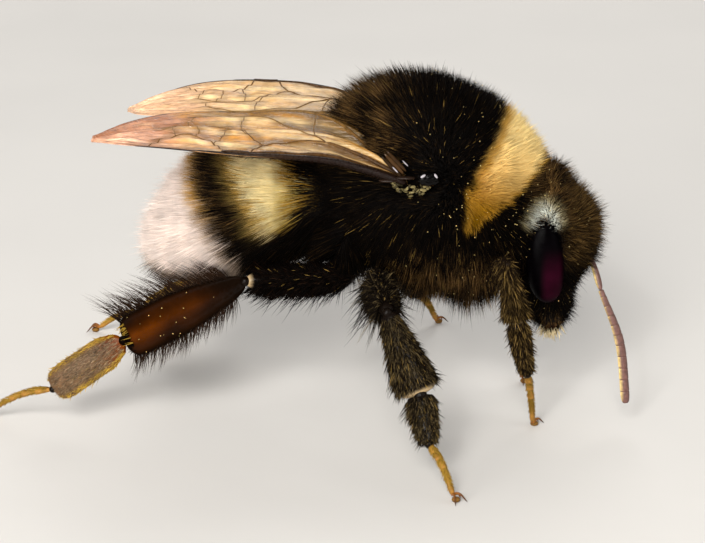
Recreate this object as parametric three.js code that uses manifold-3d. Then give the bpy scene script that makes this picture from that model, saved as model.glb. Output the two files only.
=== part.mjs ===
// A buff-tailed bumblebee worker at life size, standing still on its six feet.
// Millimetres. +X points to the head, +Y to the bee's left, +Z up; the feet stand at Z = 0.
// Every solid reaches out to the tips of the hairs that grow on it.

import * as THREE from 'three';
import { mergeVertices } from 'three/addons/utils/BufferGeometryUtils.js';
import Module from 'manifold-3d';

const wasm = await Module();
wasm.setup();

// ---------------------------------------------------------------- driving dimensions

const GAP = 0.1; // the thin cut between two neighbouring parts
const SAME_POINT = 1e-4; // corners closer together than this are one
const RIGHT = -1;
const LEFT = 1;
const SIDES = { right: RIGHT, left: LEFT };
const SIDEWAYS = [0, 1, 0];
const UPWARDS = [0, 0, 1];

// facets are the columns and rows of a ball.
const THORAX = {
  centre: [3.1, 0, 8.35], half: [4.25, 3.85, 4.12], lean: -0.22, chestWidth: 0.72, facets: [20, 13],
};
const ABDOMEN = {
  centre: [-3.45, 0, 7.75], half: [4.25, 3.55, 2.4], slope: 0.15, droop: 0.053, tuck: 1.0, facets: [20, 13],
};
// face lists heights and how far forward the fur of the face reaches there.
const HEAD = {
  centre: [7.3, 0, 6.25], half: [1.62, 2.5, 3.15], chinWidth: 0.62, facets: [20, 16],
  face: [[3.1, 7.6], [4.2, 8.0], [5.3, 8.25], [5.9, 8.75], [7.4, 8.85], [8.2, 8.1], [9.0, 7.5], [9.5, 7.2]],
};
const NARROWING = 1.5; // how late the chest and the chin start to narrow on the way down
const EYE = { centre: [6.86, 1.89, 6.3], half: [0.72, 0.56, 1.53], lean: 0.06, toe: 0.1, facets: [12, 10] };
const TEGULA = { centre: [2.8, 3.4, 9.7], half: [0.42, 0.38, 0.34], facets: [10, 7] };

const SCAPE = { radius: 0.25, root: [7.9, 0.35, 6.6] };
const FLAGELLUM = { rootRadius: 0.25, radius: 0.29, fullAt: 0.5 }; // fullAt is where it is at its full radius
// The right feeler hangs forward and down; the left one is swung out and back along the cheek.
const FEELERS = {
  right: { elbow: [8.8, 1.4, 5.1], bend: [9.5, 1.6, 3.3], tip: [9.8, 1.8, 1.05] },
  left: { elbow: [8.45, 2.1, 5.3], bend: [8.0, 3.1, 3.9], tip: [7.25, 3.7, 2.5] },
};
// Half widths and half depths of the mandible at its root and at its tip.
const MANDIBLE = {
  root: [6.95, 1.25, 4.6], bend: [7.12, 1.1, 3.8], tip: [7.0, 0.45, 3.3],
  width: [0.4, 0.27], depth: [0.32, 0.23],
};

const WING_THICKNESS = 0.5;
// Each wing lies between its front edge and its hind edge, both drawn from the root to the tip.
const FOREWING = {
  right: {
    front: [[2.1, 3.0, 9.35], [-0.5, 3.4, 10.2], [-3.5, 4.1, 10.6], [-6.0, 4.05, 10.78],
      [-7.7, 3.7, 10.78], [-8.65, 3.25, 10.74]],
    hind: [[1.8, 2.2, 9.95], [-0.8, 0.35, 10.98], [-4.0, 0.12, 10.97], [-6.4, 0.3, 10.9],
      [-7.8, 1.3, 10.82], [-8.65, 2.8, 10.74]],
  },
  left: {
    front: [[2.1, 3.0, 9.35], [-0.6, 3.4, 10.75], [-3.6, 3.75, 11.03], [-5.8, 3.55, 10.95],
      [-7.3, 2.9, 10.65], [-8.2, 2.0, 10.4]],
    hind: [[1.8, 2.2, 9.95], [-0.9, 0.35, 10.8], [-4.0, 0.12, 10.86], [-6.4, 0.12, 10.76],
      [-7.6, 0.6, 10.58], [-8.2, 1.6, 10.4]],
  },
};
// The hind wings lie tucked under the fore wings.
const HINDWING = {
  front: [[1.6, 2.5, 9.0], [-0.6, 2.8, 9.75], [-3.0, 3.0, 10.0], [-5.4, 2.7, 10.15], [-6.6, 2.2, 10.2]],
  hind: [[1.4, 2.0, 9.1], [-0.8, 1.4, 9.95], [-3.0, 1.2, 10.15], [-5.2, 1.1, 10.2], [-6.5, 1.7, 10.2]],
};

// The joints of each leg from the body to the foot, with Y counted outwards from the middle.
const STANCE = {
  front_right: { hip: [4.6, 1.2, 5.2], knee: [5.5, 3.0, 6.65], ankle: [5.9, 2.8, 4.35],
    heel: [6.3, 2.45, 2.3], foot: [6.55, 1.8, 0], side: RIGHT },
  front_left: { hip: [4.6, 1.2, 5.2], knee: [5.3, 3.1, 6.6], ankle: [5.6, 3.0, 4.3],
    heel: [5.9, 2.75, 2.3], foot: [6.15, 2.4, 0], side: LEFT },
  mid_right: { hip: [0.9, 1.4, 5.6], knee: [1.5, 4.6, 5.3], ankle: [2.7, 6.0, 2.9],
    heel: [3.05, 7.0, 1.55], foot: [3.9, 8.0, 0], side: RIGHT },
  mid_left: { hip: [0.9, 1.4, 5.6], knee: [1.0, 4.6, 5.3], ankle: [1.6, 6.15, 2.85],
    heel: [2.0, 7.1, 1.6], foot: [2.75, 8.05, 0], side: LEFT },
  hind_right: { hip: [0.2, 1.2, 5.3], knee: [-3.5, 3.1, 5.75], ankle: [-7.75, 3.4, 3.55],
    heel: [-10.35, 3.3, 1.6], foot: [-13.0, 2.5, 0], side: RIGHT },
  hind_left: { hip: [0.2, 1.2, 5.3], knee: [-2.9, 3.8, 5.7], ankle: [-6.1, 5.2, 2.6],
    heel: [-8.3, 6.05, 0.95], foot: [-10.4, 6.3, 0], side: LEFT },
};
// Half widths and half depths of the leg parts at their thickest, hairs included.
const LEG_SIZES = {
  front: { femur: [0.5, 0.45], tibia: [0.5, 0.45], basitarsus: [0.46, 0.34], tarsus: 0.25 },
  mid: { femur: [0.55, 0.5], tibia: [0.8, 0.45], basitarsus: [0.52, 0.34], tarsus: 0.26 },
  hind: { femur: [0.6, 0.5], tibia: [0.9, 0.4], basitarsus: [0.72, 0.3], tarsus: 0.27 },
};
// How far a leg part widens or narrows, as shares of its full width.
const SWELL = 0.28; // a femur is this much thicker in its middle than at its ends
const SHIN = { start: 0.5, fullAt: 0.7 }; // a shin's width at its knee, and where it is at its full width
const BASKET = { start: 0.38, fullAt: 0.67 }; // the same of a hind shin, which is shaped like a paddle
const HEEL_LOSS = 0.38; // what a basitarsus loses of its width on its way down
const SPLAY = 0.3; // how far up the broad sides of the legs face
const ROUNDNESS = 8; // how late the ends of a limb start to round off
const TARSUS_ARCH = 0.35; // how far the middle of a foot's chain of joints is lifted
// The pad under the claws, flat at the floor.
const PAD = { half: [0.34, 0.32, 0.3], height: 0.2, facets: [8, 5] };
const CLAW = { length: 0.6, spread: 0.32, radius: 0.15, lift: 0.04 };

// Facets around and along each long part, and along and across a wing.
const LIMB_FACETS = {
  scape: [8, 5], flagellum: [8, 9], mandible: [8, 6], leg: [8, 8], tarsus: [8, 7], claw: [5, 4],
};
const WING_FACETS = [12, 3];

const FINISHES = {
  fur: { color: 0x15110d, roughness: 0.95 },
  banded_fur: { color: 0xe8c878, roughness: 0.95 },
  eye: { color: 0x160c14, roughness: 0.25 },
  wing: { color: 0xc79a5c, roughness: 0.3 },
  feeler: { color: 0x6d4a48, roughness: 0.45 },
  shell: { color: 0x1b130d, roughness: 0.35 },
  leg: { color: 0x4a2c12, roughness: 0.5 },
  foot: { color: 0x8a6424, roughness: 0.5 },
};

// ---------------------------------------------------------------- shapes

// A ball with its poles on Z, scaled to half sizes and passed through a bending function.
function blob({ centre, half, facets }, bend = (p) => p, grow = 0) {
  const geometry = new THREE.SphereGeometry(1, ...facets);
  geometry.rotateX(Math.PI / 2);
  const size = half.map((h) => h + grow);
  return warped(geometry, (p) => {
    const scaled = new THREE.Vector3(p.x * size[0], p.y * size[1], p.z * size[2]);
    return bend(scaled, p).add(new THREE.Vector3(...centre));
  });
}

// A round-ended limb along a curve. profile(t) gives the half width and half depth at t in 0..1;
// the width lies square to the curve and to the flat direction.
function limb(curve, profile, flat, facets, grow = 0) {
  const geometry = new THREE.SphereGeometry(1, ...facets);
  const flatWay = new THREE.Vector3(...flat);
  return warped(geometry, (p) => {
    const t = Math.acos(THREE.MathUtils.clamp(p.y, -1, 1)) / Math.PI;
    const around = Math.atan2(p.z, p.x);
    const tangent = curve.getTangentAt(t);
    const width = new THREE.Vector3().crossVectors(tangent, flatWay).normalize();
    const depth = new THREE.Vector3().crossVectors(width, tangent).normalize();
    const [halfWidth, halfDepth] = profile(t);
    const round = Math.sqrt(Math.max(0, 1 - Math.abs(2 * t - 1) ** ROUNDNESS));
    const along = grow * (2 * t - 1);
    return curve.getPointAt(t)
      .addScaledVector(tangent, along)
      .addScaledVector(width, Math.cos(around) * round * (halfWidth + grow))
      .addScaledVector(depth, -Math.sin(around) * round * (halfDepth + grow));
  });
}

// A flat plate between a front edge and a hind edge, of even thickness.
function plate(frontEdge, hindEdge, thickness, facets, grow = 0) {
  const geometry = new THREE.BoxGeometry(1, 1, 1, ...facets, 1);
  return warped(geometry, (p) => {
    const along = p.x + 0.5;
    const point = frontEdge.getPoint(along).lerp(hindEdge.getPoint(along), p.y + 0.5);
    point.z += p.z * (thickness + 2 * grow);
    return point;
  });
}

// Moves every vertex of a geometry and leaves one closed skin whose faces point outwards.
function warped(geometry, move) {
  geometry.deleteAttribute('normal');
  geometry.deleteAttribute('uv');
  const merged = mergeVertices(geometry, SAME_POINT);
  const place = merged.getAttribute('position');
  const point = new THREE.Vector3();
  for (let i = 0; i < place.count; i += 1) {
    point.fromBufferAttribute(place, i);
    const moved = move(point);
    place.setXYZ(i, moved.x, moved.y, moved.z);
  }
  return faceOutwards(mergeVertices(merged, SAME_POINT));
}

function faceOutwards(geometry) {
  const place = geometry.getAttribute('position');
  const index = geometry.index.array;
  const [a, b, c] = [new THREE.Vector3(), new THREE.Vector3(), new THREE.Vector3()];
  let volume = 0;
  for (let i = 0; i < index.length; i += 3) {
    a.fromBufferAttribute(place, index[i]);
    b.fromBufferAttribute(place, index[i + 1]);
    c.fromBufferAttribute(place, index[i + 2]);
    volume += a.dot(b.cross(c));
  }
  if (volume < 0) {
    for (let i = 0; i < index.length; i += 3) {
      [index[i], index[i + 1]] = [index[i + 1], index[i]];
    }
  }
  return geometry;
}

// ---------------------------------------------------------------- joins and cuts

function toSolid(geometry) {
  const vertProperties = new Float32Array(geometry.getAttribute('position').array);
  const triVerts = new Uint32Array(geometry.index.array);
  return new wasm.Manifold(new wasm.Mesh({ numProp: 3, vertProperties, triVerts }));
}

// The largest piece of a solid, as a geometry.
function toGeometry(solid) {
  const pieces = solid.decompose().sort((one, other) => other.volume() - one.volume());
  const mesh = pieces[0].getMesh();
  const geometry = new THREE.BufferGeometry();
  geometry.setAttribute('position', new THREE.BufferAttribute(mesh.vertProperties, 3));
  geometry.setIndex(new THREE.BufferAttribute(mesh.triVerts, 1));
  geometry.computeVertexNormals();
  return geometry;
}

// ---------------------------------------------------------------- the parts of the body

const mirrored = ([x, y, z], side) => new THREE.Vector3(x, side * y, z);
const curveThrough = (points) => new THREE.CatmullRomCurve3(points, false, 'centripetal');

function thorax(grow = 0) {
  // the back sits further behind than the chest, and the chest is the narrower
  const bend = (p, unit) => {
    p.x += THORAX.lean * p.z;
    p.y *= 1 - (1 - THORAX.chestWidth) * Math.max(0, -unit.z) ** NARROWING;
    return p;
  };
  return toSolid(blob(THORAX, bend, grow));
}

function abdomen(grow = 0) {
  // the hind half hangs down towards the tail, whose upper side is drawn forward
  const bend = (p) => {
    const hind = Math.min(0, p.x);
    const height = Math.max(0, p.z / ABDOMEN.half[2] + 0.65);
    const forward = ABDOMEN.tuck * height * (hind / ABDOMEN.half[0]) ** 2;
    return p.set(p.x + forward, p.y, p.z + ABDOMEN.slope * p.x - ABDOMEN.droop * hind ** 2);
  };
  return toSolid(blob(ABDOMEN, bend, grow));
}

// How far forward the face reaches at a height, between the heights that HEAD.face lists.
function faceAt(height) {
  const above = HEAD.face.findIndex(([z]) => z > height);
  if (above <= 0) return HEAD.face.at(above === 0 ? 0 : -1)[1];
  const [[z0, x0], [z1, x1]] = HEAD.face.slice(above - 1, above + 1);
  return THREE.MathUtils.mapLinear(height, z0, z1, x0, x1);
}

function head(grow = 0) {
  // the chin is the narrower, the brow stands out and the crown slopes back from it
  const [x, , z] = HEAD.centre;
  const bend = (p, unit) => {
    p.y *= 1 - (1 - HEAD.chinWidth) * Math.max(0, -unit.z) ** NARROWING;
    const roundFront = (HEAD.half[0] + grow) * Math.sqrt(Math.max(0, 1 - unit.z ** 2));
    const front = faceAt(p.z + z) - x + grow;
    if (p.x > 0 && front < roundFront) p.x *= Math.max(0, front) / roundFront;
    return p;
  };
  return toSolid(blob(HEAD, bend, grow));
}

function eye(side, grow = 0) {
  const { centre, lean, toe } = EYE;
  // the eye tips back at the top and its front edge turns inwards
  const bend = (p) => new THREE.Vector3(p.x - lean * p.z, side * (p.y - toe * p.x), p.z);
  return toSolid(blob({ ...EYE, centre: mirrored(centre, side).toArray() }, bend, grow));
}

function tegula(side, grow = 0) {
  return toSolid(blob({ ...TEGULA, centre: mirrored(TEGULA.centre, side).toArray() }, undefined, grow));
}

function feeler(sideName) {
  const side = SIDES[sideName];
  const { elbow, bend, tip } = FEELERS[sideName];
  const root = mirrored(SCAPE.root, side);
  const joint = mirrored(elbow, side);
  const scapeCurve = new THREE.LineCurve3(root, joint);
  const whipCurve = curveThrough([joint, mirrored(bend, side), mirrored(tip, side)]);
  const scapeSize = () => [SCAPE.radius, SCAPE.radius];
  const whipSize = (t) => {
    const share = Math.min(1, t / FLAGELLUM.fullAt);
    const radius = THREE.MathUtils.lerp(FLAGELLUM.rootRadius, FLAGELLUM.radius, share);
    return [radius, radius];
  };
  return {
    scape: (grow = 0) => toSolid(limb(scapeCurve, scapeSize, SIDEWAYS, LIMB_FACETS.scape, grow)),
    flagellum: () => toSolid(limb(whipCurve, whipSize, SIDEWAYS, LIMB_FACETS.flagellum)),
  };
}

function mandible(side, grow = 0) {
  const points = [MANDIBLE.root, MANDIBLE.bend, MANDIBLE.tip].map((p) => mirrored(p, side));
  const { width, depth } = MANDIBLE;
  const size = (t) => [THREE.MathUtils.lerp(...width, t), THREE.MathUtils.lerp(...depth, t)];
  return toSolid(limb(curveThrough(points), size, SIDEWAYS, LIMB_FACETS.mandible, grow));
}

function wing({ front, hind }, side, grow = 0) {
  const edges = [front, hind].map((edge) => curveThrough(edge.map((p) => mirrored(p, side))));
  return toSolid(plate(edges[0], edges[1], WING_THICKNESS, WING_FACETS, grow));
}

// ---------------------------------------------------------------- legs

// How the width of each leg part runs from its upper end to its lower end.
const swellMiddle = (t) => 1 - SWELL * (1 - Math.sin(Math.PI * t));
const widenDown = (t) => THREE.MathUtils.lerp(SHIN.start, 1, Math.min(1, t / SHIN.fullAt));
const paddle = (t) => {
  const share = Math.sin(0.5 * Math.PI * Math.min(1, t / BASKET.fullAt));
  return THREE.MathUtils.lerp(BASKET.start, 1, share);
};
const narrowDown = (t) => 1 - HEEL_LOSS * t * t;

function legPart(from, to, [halfWidth, halfDepth], taper, flat) {
  const curve = new THREE.LineCurve3(from, to);
  const size = (t) => [halfWidth * taper(t), halfDepth * taper(t)];
  return (grow = 0) => toSolid(limb(curve, size, flat, LIMB_FACETS.leg, grow));
}

function tarsus(heel, foot, radius) {
  const middle = heel.clone().lerp(foot, 0.5);
  middle.z += TARSUS_ARCH;
  const padTop = foot.clone().setZ(PAD.height);
  const curve = curveThrough([heel, middle, padTop]);
  const chain = limb(curve, () => [radius, radius], SIDEWAYS, LIMB_FACETS.tarsus);
  let solid = toSolid(chain).add(toSolid(blob({ ...PAD, centre: padTop.toArray() })));
  const ahead = foot.clone().sub(heel).setZ(0).normalize();
  const across = new THREE.Vector3(-ahead.y, ahead.x, 0);
  for (const turn of [-1, 1]) {
    const tip = padTop.clone()
      .addScaledVector(ahead, CLAW.length)
      .addScaledVector(across, turn * CLAW.spread)
      .setZ(CLAW.radius + CLAW.lift);
    const size = () => [CLAW.radius, CLAW.radius];
    const claw = limb(new THREE.LineCurve3(padTop, tip), size, UPWARDS, LIMB_FACETS.claw);
    solid = solid.add(toSolid(claw));
  }
  return solid.trimByPlane(UPWARDS, 0);
}

function leg(name) {
  const { hip, knee, ankle, heel, foot, side } = STANCE[name];
  const pair = name.split('_')[0];
  const size = LEG_SIZES[pair];
  const [a, b, c, d, e] = [hip, knee, ankle, heel, foot].map((p) => mirrored(p, side));
  const outward = [0, side, SPLAY];
  return {
    femur: legPart(a, b, size.femur, swellMiddle, outward),
    tibia: legPart(b, c, size.tibia, pair === 'hind' ? paddle : widenDown, outward),
    basitarsus: legPart(c, d, size.basitarsus, narrowDown, outward),
    tarsus: () => tarsus(d, e, size.tarsus),
  };
}

// ---------------------------------------------------------------- the whole bee

const bee = new THREE.Group();

function add(name, solid, finish) {
  const material = new THREE.MeshStandardMaterial({ ...finish, metalness: 0 });
  const mesh = new THREE.Mesh(toGeometry(solid), material);
  mesh.name = name;
  bee.add(mesh);
}

// Takes the neighbours, each grown by the gap, out of a solid.
const parted = (solid, ...neighbours) => neighbours.reduce((rest, part) => rest.subtract(part), solid);

const thoraxGrown = thorax(GAP);
const abdomenGrown = abdomen(GAP);
const headGrown = head(GAP);

let thoraxSolid = thorax();
let headSolid = parted(head(), thoraxGrown);
for (const [sideName, side] of Object.entries(SIDES)) {
  thoraxSolid = parted(thoraxSolid, tegula(side, GAP));
  headSolid = parted(headSolid, eye(side, GAP), mandible(side, GAP), feeler(sideName).scape(GAP));
}
add('thorax', thoraxSolid, FINISHES.fur);
add('abdomen', parted(abdomen(), thoraxGrown), FINISHES.banded_fur);
add('head', headSolid, FINISHES.fur);

for (const [sideName, side] of Object.entries(SIDES)) {
  const eyeGrown = eye(side, GAP);
  const tegulaGrown = tegula(side, GAP);
  add(`eye_${sideName}`, parted(eye(side), thoraxGrown), FINISHES.eye);
  add(`tegula_${sideName}`, tegula(side), FINISHES.shell);

  const { scape, flagellum } = feeler(sideName);
  add(`scape_${sideName}`, scape(), FINISHES.feeler);
  add(`flagellum_${sideName}`, parted(flagellum(), scape(GAP), headGrown, eyeGrown), FINISHES.feeler);
  add(`mandible_${sideName}`, parted(mandible(side), eyeGrown), FINISHES.shell);

  const forewingGrown = wing(FOREWING[sideName], side, GAP);
  add(`forewing_${sideName}`, parted(wing(FOREWING[sideName], side), thoraxGrown, abdomenGrown, tegulaGrown),
    FINISHES.wing);
  add(`hindwing_${sideName}`,
    parted(wing(HINDWING, side), thoraxGrown, abdomenGrown, forewingGrown, tegulaGrown),
    FINISHES.wing);
}

for (const name of Object.keys(STANCE)) {
  const eyeGrown = eye(STANCE[name].side, GAP);
  const body = [thoraxGrown, abdomenGrown, headGrown, eyeGrown];
  const parts = leg(name);
  add(`femur_${name}`, parted(parts.femur(), ...body), FINISHES.shell);
  add(`tibia_${name}`, parted(parts.tibia(), parts.femur(GAP), ...body), FINISHES.leg);
  add(`basitarsus_${name}`, parted(parts.basitarsus(), parts.tibia(GAP), ...body), FINISHES.leg);
  add(`tarsus_${name}`, parted(parts.tarsus(), parts.basitarsus(GAP)), FINISHES.foot);
}

// The origin is under the middle of the bee, on the floor.
const middle = new THREE.Box3().setFromObject(bee).getCenter(new THREE.Vector3());
bee.position.set(-middle.x, -middle.y, 0);
bee.updateMatrixWorld(true);

export default bee;
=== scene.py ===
"""A buff-tailed bumblebee worker at life size: skin, coat, eyes, wings, legs and feelers.

Shapes are worked out in the bee's own millimetres (+X to the head, +Y to its left, +Z up, feet at
Z = 0) and become metres when a mesh is made. Every hair is a thin closed-sided spike of real mesh.
Numbers that belong to points, such as shares and lengths, are columns with a row for each point.
"""

import math

import bpy
import numpy as np
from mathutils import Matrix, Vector
from mathutils.kdtree import KDTree


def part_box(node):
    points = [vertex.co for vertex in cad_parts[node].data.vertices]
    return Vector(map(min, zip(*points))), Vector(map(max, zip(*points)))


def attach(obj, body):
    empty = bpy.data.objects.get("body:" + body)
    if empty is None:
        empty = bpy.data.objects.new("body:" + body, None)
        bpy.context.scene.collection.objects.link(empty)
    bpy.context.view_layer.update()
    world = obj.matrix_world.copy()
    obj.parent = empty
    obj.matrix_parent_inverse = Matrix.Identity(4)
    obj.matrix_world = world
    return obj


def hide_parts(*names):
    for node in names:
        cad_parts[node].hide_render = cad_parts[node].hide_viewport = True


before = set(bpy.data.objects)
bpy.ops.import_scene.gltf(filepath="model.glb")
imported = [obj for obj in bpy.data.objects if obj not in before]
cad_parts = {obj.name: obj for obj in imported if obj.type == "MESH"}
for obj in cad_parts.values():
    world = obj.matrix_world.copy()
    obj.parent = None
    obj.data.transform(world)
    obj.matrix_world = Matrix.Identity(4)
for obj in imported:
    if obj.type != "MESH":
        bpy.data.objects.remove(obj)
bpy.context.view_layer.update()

MM = 0.001
SIDES = {"right": -1, "left": 1}  # the sign of Y on each side

# ---------------- the body's driving dimensions

COAT_DEPTH = 0.9  # how far the thorax's hairs stand off its skin
THORAX = {"centre": (3.1, 0, 8.35), "half": (3.4, 2.95, 3.3), "lean": -0.22, "chest_width": 0.72}
ABDOMEN = {
    "centre": (-3.45, 0, 7.72), "half": (3.62, 2.95, 1.85), "slope": 0.15, "droop": 0.053,
    "tuck": 1.0, "tuck_foot": -0.65,  # the tail is drawn forward above this share of its half height
    "plates": 6, "plate_step": 0.05,  # plates along the back, and how much each of them narrows
}
HEAD = {"centre": (7.1, 0, 6.25), "half": (1.15, 2.2, 2.75), "chin_width": 0.62}
BODY_PARTS = (THORAX, ABDOMEN, HEAD)
GRAIN_OF_SKIN = 0.11  # the size of the cells in which the body parts are grown together
FACE = {  # how far forward the face's skin reaches at a height
    "z": (3.5, 4.2, 5.0, 5.6, 6.2, 7.1, 7.5, 7.85, 8.2, 8.75, 9.1),
    "x": (7.4, 7.55, 7.68, 7.95, 8.22, 8.38, 8.34, 7.85, 7.4, 7.0, 6.8),
}
NECK = {"centre": (6.0, 0, 7.1), "half": (0.9, 1.5, 1.5)}
WAIST = {"centre": (-0.2, 0, 7.2), "half": (0.9, 1.7, 1.5)}
EYE = {"centre": (6.86, 1.89, 6.3), "half": (0.72, 0.56, 1.53), "lean": 0.06, "toe": 0.1}
TEGULA = {"centre": (2.8, 3.32, 9.66), "half": (0.38, 0.24, 0.25)}

# the middle of the thorax is known in the frame, and places everything else
low, high = (np.array(corner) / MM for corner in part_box("thorax"))
SHIFT = (low + high) / 2 - THORAX["centre"]

# ---------------- small mathematics


def linear(red, green, blue):
    """A display colour from 0 to 255 as the linear colour that the shaders take."""
    value = np.array([red, green, blue]) / 255
    return np.where(value <= 0.04045, value / 12.92, ((value + 0.055) / 1.055) ** 2.4)


def unit(vectors):
    return vectors / np.maximum(np.linalg.norm(vectors, axis=-1, keepdims=True), 1e-9)


def blend(one, other, share):
    """one where the share is 0 and other where it is 1; shares of rows of numbers are a column."""
    return one * (1 - share) + other * share


def step(low_edge, high_edge, value):
    """Rises smoothly from 0 at the low edge to 1 at the high one."""
    share = np.clip((value - low_edge) / (high_edge - low_edge), 0, 1)
    return share * share * (3 - 2 * share)


def ripple(points, wave, seed, layers=14):
    """A smooth random field from about -1 to 1, whose hills are about one wave (mm) apart."""
    rng = np.random.default_rng(seed)
    ways = unit(rng.normal(size=(layers, points.shape[-1]))) * rng.uniform(0.6, 1.5, (layers, 1))
    waves = np.sin(points @ ways.T * (2 * math.pi / wave) + rng.uniform(0, 2 * math.pi, layers))
    return waves.mean(-1, keepdims=True) * math.sqrt(layers / 2)


def sway(points, wave, seed):
    """A smooth random direction at each point."""
    return np.hstack([ripple(points, wave, seed + k) for k in range(3)])


def distance(offsets):
    """The length of each offset."""
    return np.linalg.norm(offsets, axis=1, keepdims=True)


def mirrored(points, side):
    """Points that are given for the left, on a side."""
    return np.asarray(points, float) * (1, side, 1)


def either_side(points):
    """The points as if all were on the bee's left, for what is alike on both sides."""
    return points * (1, 0, 1) + np.abs(points) * (0, 1, 0)


def nearest(spots, points):
    """For each point the index of the nearest spot, and how far away it is."""
    tree = KDTree(len(spots))
    for index, spot in enumerate(spots):
        tree.insert(spot, index)
    tree.balance()
    found = [tree.find(point) for point in points]
    return np.array([index for _, index, _ in found]), np.array([[away] for *_, away in found])


def spline(points, shares):
    """Points on a centripetal Catmull-Rom curve; shares run from 0 to 1 over the given points."""
    given = np.asarray(points, float)
    padded = np.vstack([2 * given[0] - given[1], given, 2 * given[-1] - given[-2]])
    place = np.clip(shares, 0, 1) * (len(given) - 1)
    index = np.minimum(place.astype(int), len(given) - 2)
    share = (place - index)[:, None]
    a, b, c, d = (padded[index + k] for k in range(4))
    before, between, after = (
        np.sqrt(np.linalg.norm(q - p, axis=1))[:, None] for p, q in ((a, b), (b, c), (c, d))
    )
    leave = ((b - a) / before - (c - a) / (before + between) + (c - b) / between) * between
    arrive = ((c - b) / between - (d - b) / (between + after) + (d - c) / after) * between
    return (
        b * (1 + share * share * (2 * share - 3))
        + c * share * share * (3 - 2 * share)
        + leave * share * (1 - share) ** 2
        - arrive * share * share * (1 - share)
    )


# ---------------- meshes


class Shape:
    """Points, faces and colours of one piece, gathered before its mesh is made."""

    def __init__(self):
        self.points, self.faces, self.tints, self.count = [], [], [], 0

    def add(self, points, faces, tint):
        """faces is a list of arrays, each of faces with the same number of corners."""
        self.points.append(points)
        self.faces += [np.asarray(part) + self.count for part in faces]
        self.tints.append(np.broadcast_to(tint, points.shape))
        self.count += len(points)
        return self


def bare_mesh(name, points, faces):
    """A mesh from arrays of points and faces, in whatever unit they are in."""
    mesh = bpy.data.meshes.new(name)
    corners = np.concatenate([part.ravel() for part in faces]).astype(np.int32)
    sizes = np.concatenate([np.full(len(part), part.shape[1]) for part in faces])
    mesh.vertices.add(len(points))
    mesh.vertices.foreach_set("co", points.astype(np.float32).ravel())
    mesh.loops.add(len(corners))
    mesh.loops.foreach_set("vertex_index", corners)
    mesh.polygons.add(len(sizes))
    mesh.polygons.foreach_set("loop_start", (np.cumsum(sizes) - sizes).astype(np.int32))
    mesh.update(calc_edges=True)
    return mesh


def new_mesh(name, points, faces, tints, corner_places=None):
    """A smooth mesh, in metres, with its colours and its map for the bake."""
    mesh = bare_mesh(name, (points + SHIFT) * MM, faces)
    colours = np.ones((len(points), 4), np.float32)
    colours[:, :3] = tints
    mesh.attributes.new("tint", "FLOAT_COLOR", "POINT").data.foreach_set("color", colours.ravel())
    if corner_places is not None:
        chart = mesh.uv_layers.new(name="OFBake")
        chart.uv.foreach_set("vector", corner_places.astype(np.float32).ravel())
    mesh.shade_smooth()
    return mesh


def placed(name, data):
    """A new object in the scene that shows data."""
    made = bpy.data.objects.new(name, data)
    bpy.context.scene.collection.objects.link(made)
    return made


def piece(name, mesh, material, replaced=()):
    """Puts a mesh in the scene as a named piece of the bee."""
    made = placed(name, mesh)
    mesh.materials.append(material)
    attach(made, "root")
    if replaced:
        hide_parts(*replaced)


def shape_piece(name, shape, material, replaced=()):
    mesh = new_mesh(name, np.concatenate(shape.points), shape.faces, np.concatenate(shape.tints))
    piece(name, mesh, material, replaced)


def fine_piece(node, shape, material):
    """A shape as the piece that replaces one node of the CAD."""
    shape_piece(f"{node}_fine", shape, material, (node,))


def grid_faces(rows, columns, closed):
    """Faces between neighbouring rows of points; closed joins the last column to the first."""
    row, column = np.meshgrid(np.arange(rows - 1), np.arange(columns - (not closed)), indexing="ij")
    after = (column + 1) % columns
    corners = (row * columns + column, row * columns + after)
    return np.stack([*corners, corners[1] + columns, corners[0] + columns], -1).reshape(-1, 4)


def ball(rings=24, columns=32):
    """Points and faces of a unit ball with its poles on Z."""
    down = np.linspace(0, math.pi, rings + 2)[1:-1, None]
    around = np.linspace(0, 2 * math.pi, columns, endpoint=False)[None, :]
    body = np.stack(
        [np.sin(down) * np.cos(around), np.sin(down) * np.sin(around), np.cos(down) + 0 * around], -1
    ).reshape(-1, 3)
    points = np.vstack([body, [[0, 0, 1], [0, 0, -1]]])
    return points, capped(rings, columns)


def capped(rows, columns):
    """Faces of a closed tube of rows, whose last two points close its first and last rows."""
    quads = grid_faces(rows, columns, True)[:, ::-1]
    first = np.arange(columns)
    after = (first + 1) % columns
    last = (rows - 1) * columns
    start = np.stack([np.full(columns, rows * columns), first, after], -1)
    end = np.stack([np.full(columns, rows * columns + 1), last + after, last + first], -1)
    return [quads, np.vstack([start, end])]


def blob(centre, half, rings=24, columns=32, bend=None):
    """A ball scaled to half sizes, bent, and moved to its centre."""
    points, faces = ball(rings, columns)
    scaled = points * half
    return (bend(scaled, points) if bend else scaled) + centre, faces


def limb(path, widths, depths, flat, columns=16, dent=None):
    """A tube with round ends along a path. Its width lies square to the path and to flat.

    dent(angles) scales the depth round the tube, where the angle is 0 on the front edge and a
    quarter turn on the side that faces flat.
    """
    tangent = unit(np.gradient(path, axis=0))
    width_way = unit(np.cross(tangent, flat))
    depth_way = unit(np.cross(width_way, tangent))
    angle = np.linspace(0, 2 * math.pi, columns, endpoint=False)
    depth_share = np.sin(angle) * (dent(angle) if dent else 1)
    rings = (
        path[:, None]
        + width_way[:, None] * (widths[:, None] * np.cos(angle))[..., None]
        + depth_way[:, None] * (depths[:, None] * depth_share)[..., None]
    )
    return np.vstack([rings.reshape(-1, 3), path[:1], path[-1:]]), capped(len(path), columns)


def ring_tints(tints, columns):
    """A limb's colours from those along its path."""
    return np.vstack([np.repeat(tints, columns, 0), tints[:1], tints[-1:]])


def tube(path, shares, radius, flat, columns, depth=1.0):
    """A limb along a curve through a few points, whose depth is a share of its width."""
    return limb(spline(path, shares), radius, radius * depth, flat, columns)


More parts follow.
